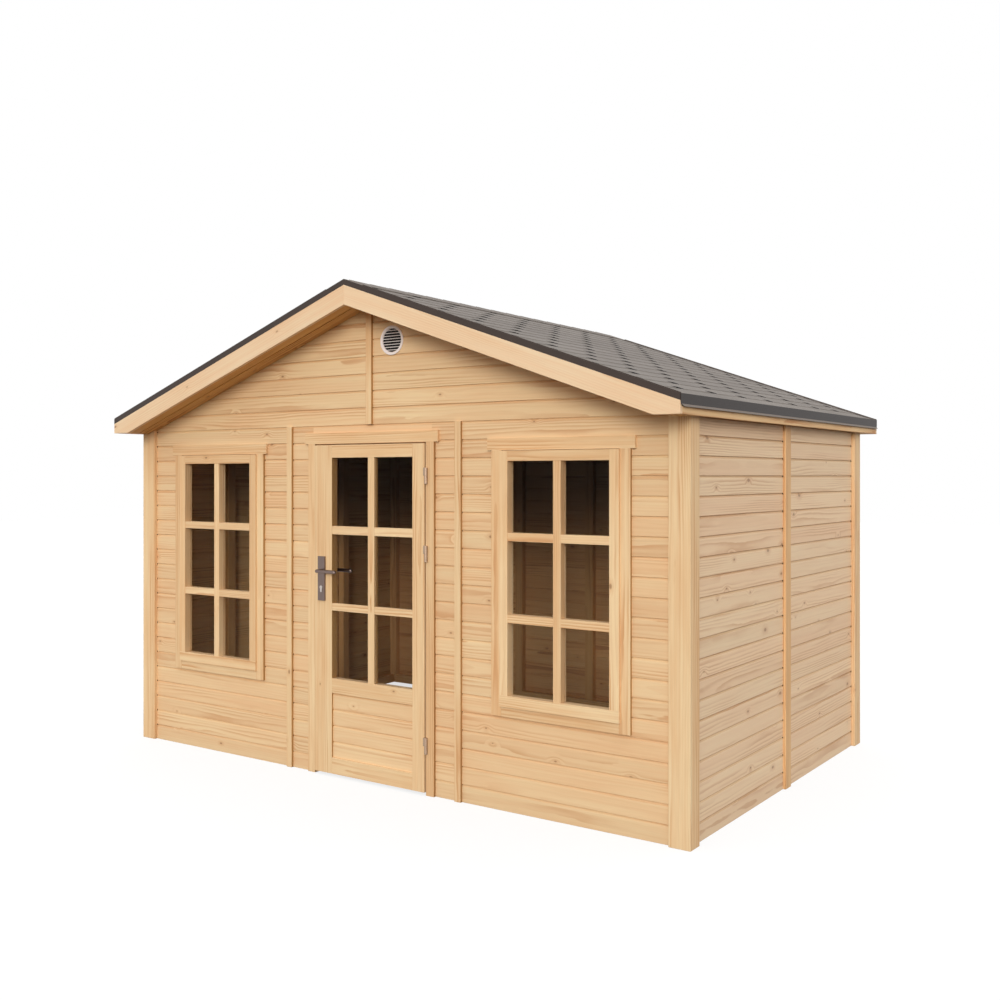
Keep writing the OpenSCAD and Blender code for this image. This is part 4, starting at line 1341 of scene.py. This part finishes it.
# %% Turn the vent
TURNS, SLATS, SLAT_STEP = 64, 8, 0.0133
SLAT_FRONT, SLAT_BACK, SLAT_H, SLAT_LOW, SLAT_IN = 0.0038, 0.0018, 0.0013, 0.0008, 0.001
VENT_R, VENT_T = (vent_high.x - vent_low.x) / 2, FRONT - vent_low.y
BORE_R, MOUTH_R = 0.0552, 0.0590
section = np.array([(BORE_R, FRONT - vent_high.y), (SPIGOT_R, FRONT - vent_high.y), (SPIGOT_R, 0),
                    (VENT_R, 0), (VENT_R, VENT_T * 0.5), (VENT_R - 0.0010, VENT_T * 0.85),
                    (VENT_R - 0.0030, VENT_T), (MOUTH_R + 0.0012, VENT_T), (MOUTH_R, VENT_T * 0.8),
                    (BORE_R + 0.001, 0)])
turn = np.linspace(0, 2 * np.pi, TURNS, endpoint=False)
count = len(section)
rings = np.zeros((TURNS, count, 3))
rings[:, :, 0] = VENT_X + np.cos(turn)[:, None] * section[:, 0]
rings[:, :, 1] = FRONT - section[:, 1]
rings[:, :, 2] = VENT_Z + np.sin(turn)[:, None] * section[:, 0]
ring, spot = np.arange(TURNS)[:, None] * count, np.arange(count)[None, :]
next_ring, next_spot = (ring + count) % (TURNS * count), (spot + 1) % count
quads = np.stack([ring + spot, ring + next_spot, next_ring + next_spot, next_ring + spot], 2)
gather = Joinery(76)
gather.add(rings, [*map(tuple, quads.reshape(-1, 4).tolist())], (1, 0, 0), (0, 1, 0))
for k in range(SLATS):
    rise = (k - (SLATS - 1) / 2) * SLAT_STEP
    half, z = math.sqrt((MOUTH_R - SLAT_IN) ** 2 - rise ** 2), VENT_Z + rise
    gather.prism([(FRONT - SLAT_FRONT, z - SLAT_H), (FRONT - SLAT_BACK, z - SLAT_LOW),
                  (FRONT - SLAT_BACK, z + SLAT_H), (FRONT - SLAT_FRONT, z + SLAT_H)],
                 VENT_X - half, VENT_X + half, 0, (1, 0, 0), (0, 0, 1))
gather.piece("gable_vent_moulded", vent_white, ["gable_vent"])

# %% [markdown]
# ## Net
# A fine black net behind the slats keeps insects out. At this size its threads can't be told
# apart, so a thin black disc stands for it. Its black is also painted shade in the vent's mouth,
# and makes the gaps between the slats dark.

# %% Net behind the slats
NET_FACE, NET_BACK = FRONT - 0.0004, FRONT + 0.0006
gather = Joinery(77)
disc = np.stack([VENT_X + BORE_R * np.cos(turn), VENT_Z + BORE_R * np.sin(turn)], 1)
gather.prism(disc, NET_FACE, NET_BACK, 1, (1, 0, 0), (0, 1, 0))
gather.piece("vent_net", net_and_shade_black)

# %% [markdown]
# ## Pieces that keep their shape
# Sheets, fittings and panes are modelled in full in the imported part. They need no new mesh, only
# a finish in place of the plain one, so their nodes stay as they are and just change material.

# %% Dress the nodes that keep their shape
KEPT = {"verge_trims": verge_sheet, "eave_drips": dark_sheet, "hinge_posts": hinge_steel,
        "hinge_leaves": hinge_steel, "handle_plates": fittings, "door_lever": fittings,
        "lock_cylinder": cylinder_steel, "window_glass": pane_glass, "door_glass": pane_glass}
for node, material in KEPT.items():
    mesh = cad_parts[node].data
    mesh.materials.clear()
    mesh.materials.append(material)
print("new finishes for", ", ".join(KEPT))

# %% [markdown]
# ## Studio
# A pale floor, a white surround and one broad soft sun, low from the front right. The surround
# is plain white where it is seen, directly or in glass and metal, while its light on the house
# is set apart: warm and weak at the horizon, cool and stronger overhead, at a level at which a
# colour shows about as it is written.

# %% Floor, world and lamp
FLOOR_SIZE = 60.0
LOW_SKY, HIGH_SKY = 0.64, 1.30
f = Finish("floor")
pale = f.node("ShaderNodeBsdfDiffuse", None, {"Color": (0.07, 0.055, 0.035, 1)})
veil = f.node("ShaderNodeBsdfDiffuse", None, {"Color": (0.22, 0.22, 0.22, 1)})
glow = f.node("ShaderNodeEmission", None, {"Color": (1, 1, 1, 1), "Strength": 0.79})
shown = f.node("ShaderNodeAddShader", None, {0: veil.outputs[0], 1: glow.outputs[0]})
f.output(f.node("ShaderNodeMixShader", None,
                {0: f.seen_directly(), 1: pale.outputs[0], 2: shown.outputs[0]}).outputs[0])
mesh = bpy.data.meshes.new("floor")
edge = FLOOR_SIZE / 2
square = [(-edge, -edge, 0), (edge, -edge, 0), (edge, edge, 0), (-edge, edge, 0)]
mesh.from_pydata(square, [], [(0, 1, 2, 3)])
mesh.materials.append(f.material)
floor = bpy.data.objects.new("floor", mesh)
bpy.context.scene.collection.objects.link(floor)
floor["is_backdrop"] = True

world = bpy.data.worlds.new("studio")
bpy.context.scene.world = world
f = Finish("studio", world)
up = f.parts(f.node("ShaderNodeTexCoord").outputs["Generated"])[2]
edge_sky = f.node("ShaderNodeBackground", None, {"Color": (1.0, 0.95, 0.84, 1), "Strength": LOW_SKY})
top_sky = f.node("ShaderNodeBackground", None, {"Color": (0.95, 1.0, 1.06, 1), "Strength": HIGH_SKY})
soft = f.node("ShaderNodeMixShader", None,
              {0: up.math("MAXIMUM", 0.0), 1: edge_sky.outputs[0], 2: top_sky.outputs[0]})
white = f.node("ShaderNodeBackground", None, {"Color": (1, 1, 1, 1), "Strength": 1.0})
f.output(f.node("ShaderNodeMixShader", None,
                {0: f.seen_directly(), 1: soft.outputs[0], 2: white.outputs[0]}).outputs[0],
         "ShaderNodeOutputWorld")

lamp_data = bpy.data.lights.new("key", "SUN")
lamp_data.angle = 0.42
lamp_data.energy = 1.66
lamp_data.color = (1.0, 0.96, 0.9)
lamp = bpy.data.objects.new("key", lamp_data)
lamp.location = (3.0, -6.0, 3.0)
lamp.rotation_euler = (math.radians(75), 0.0, math.radians(25))
bpy.context.scene.collection.objects.link(lamp)
bpy.context.scene.view_settings.view_transform = "Standard"
print("floor, world and lamp are set")

# %% Size of the house
low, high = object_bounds()
print("visual box", [round(v, 4) for v in high - low])
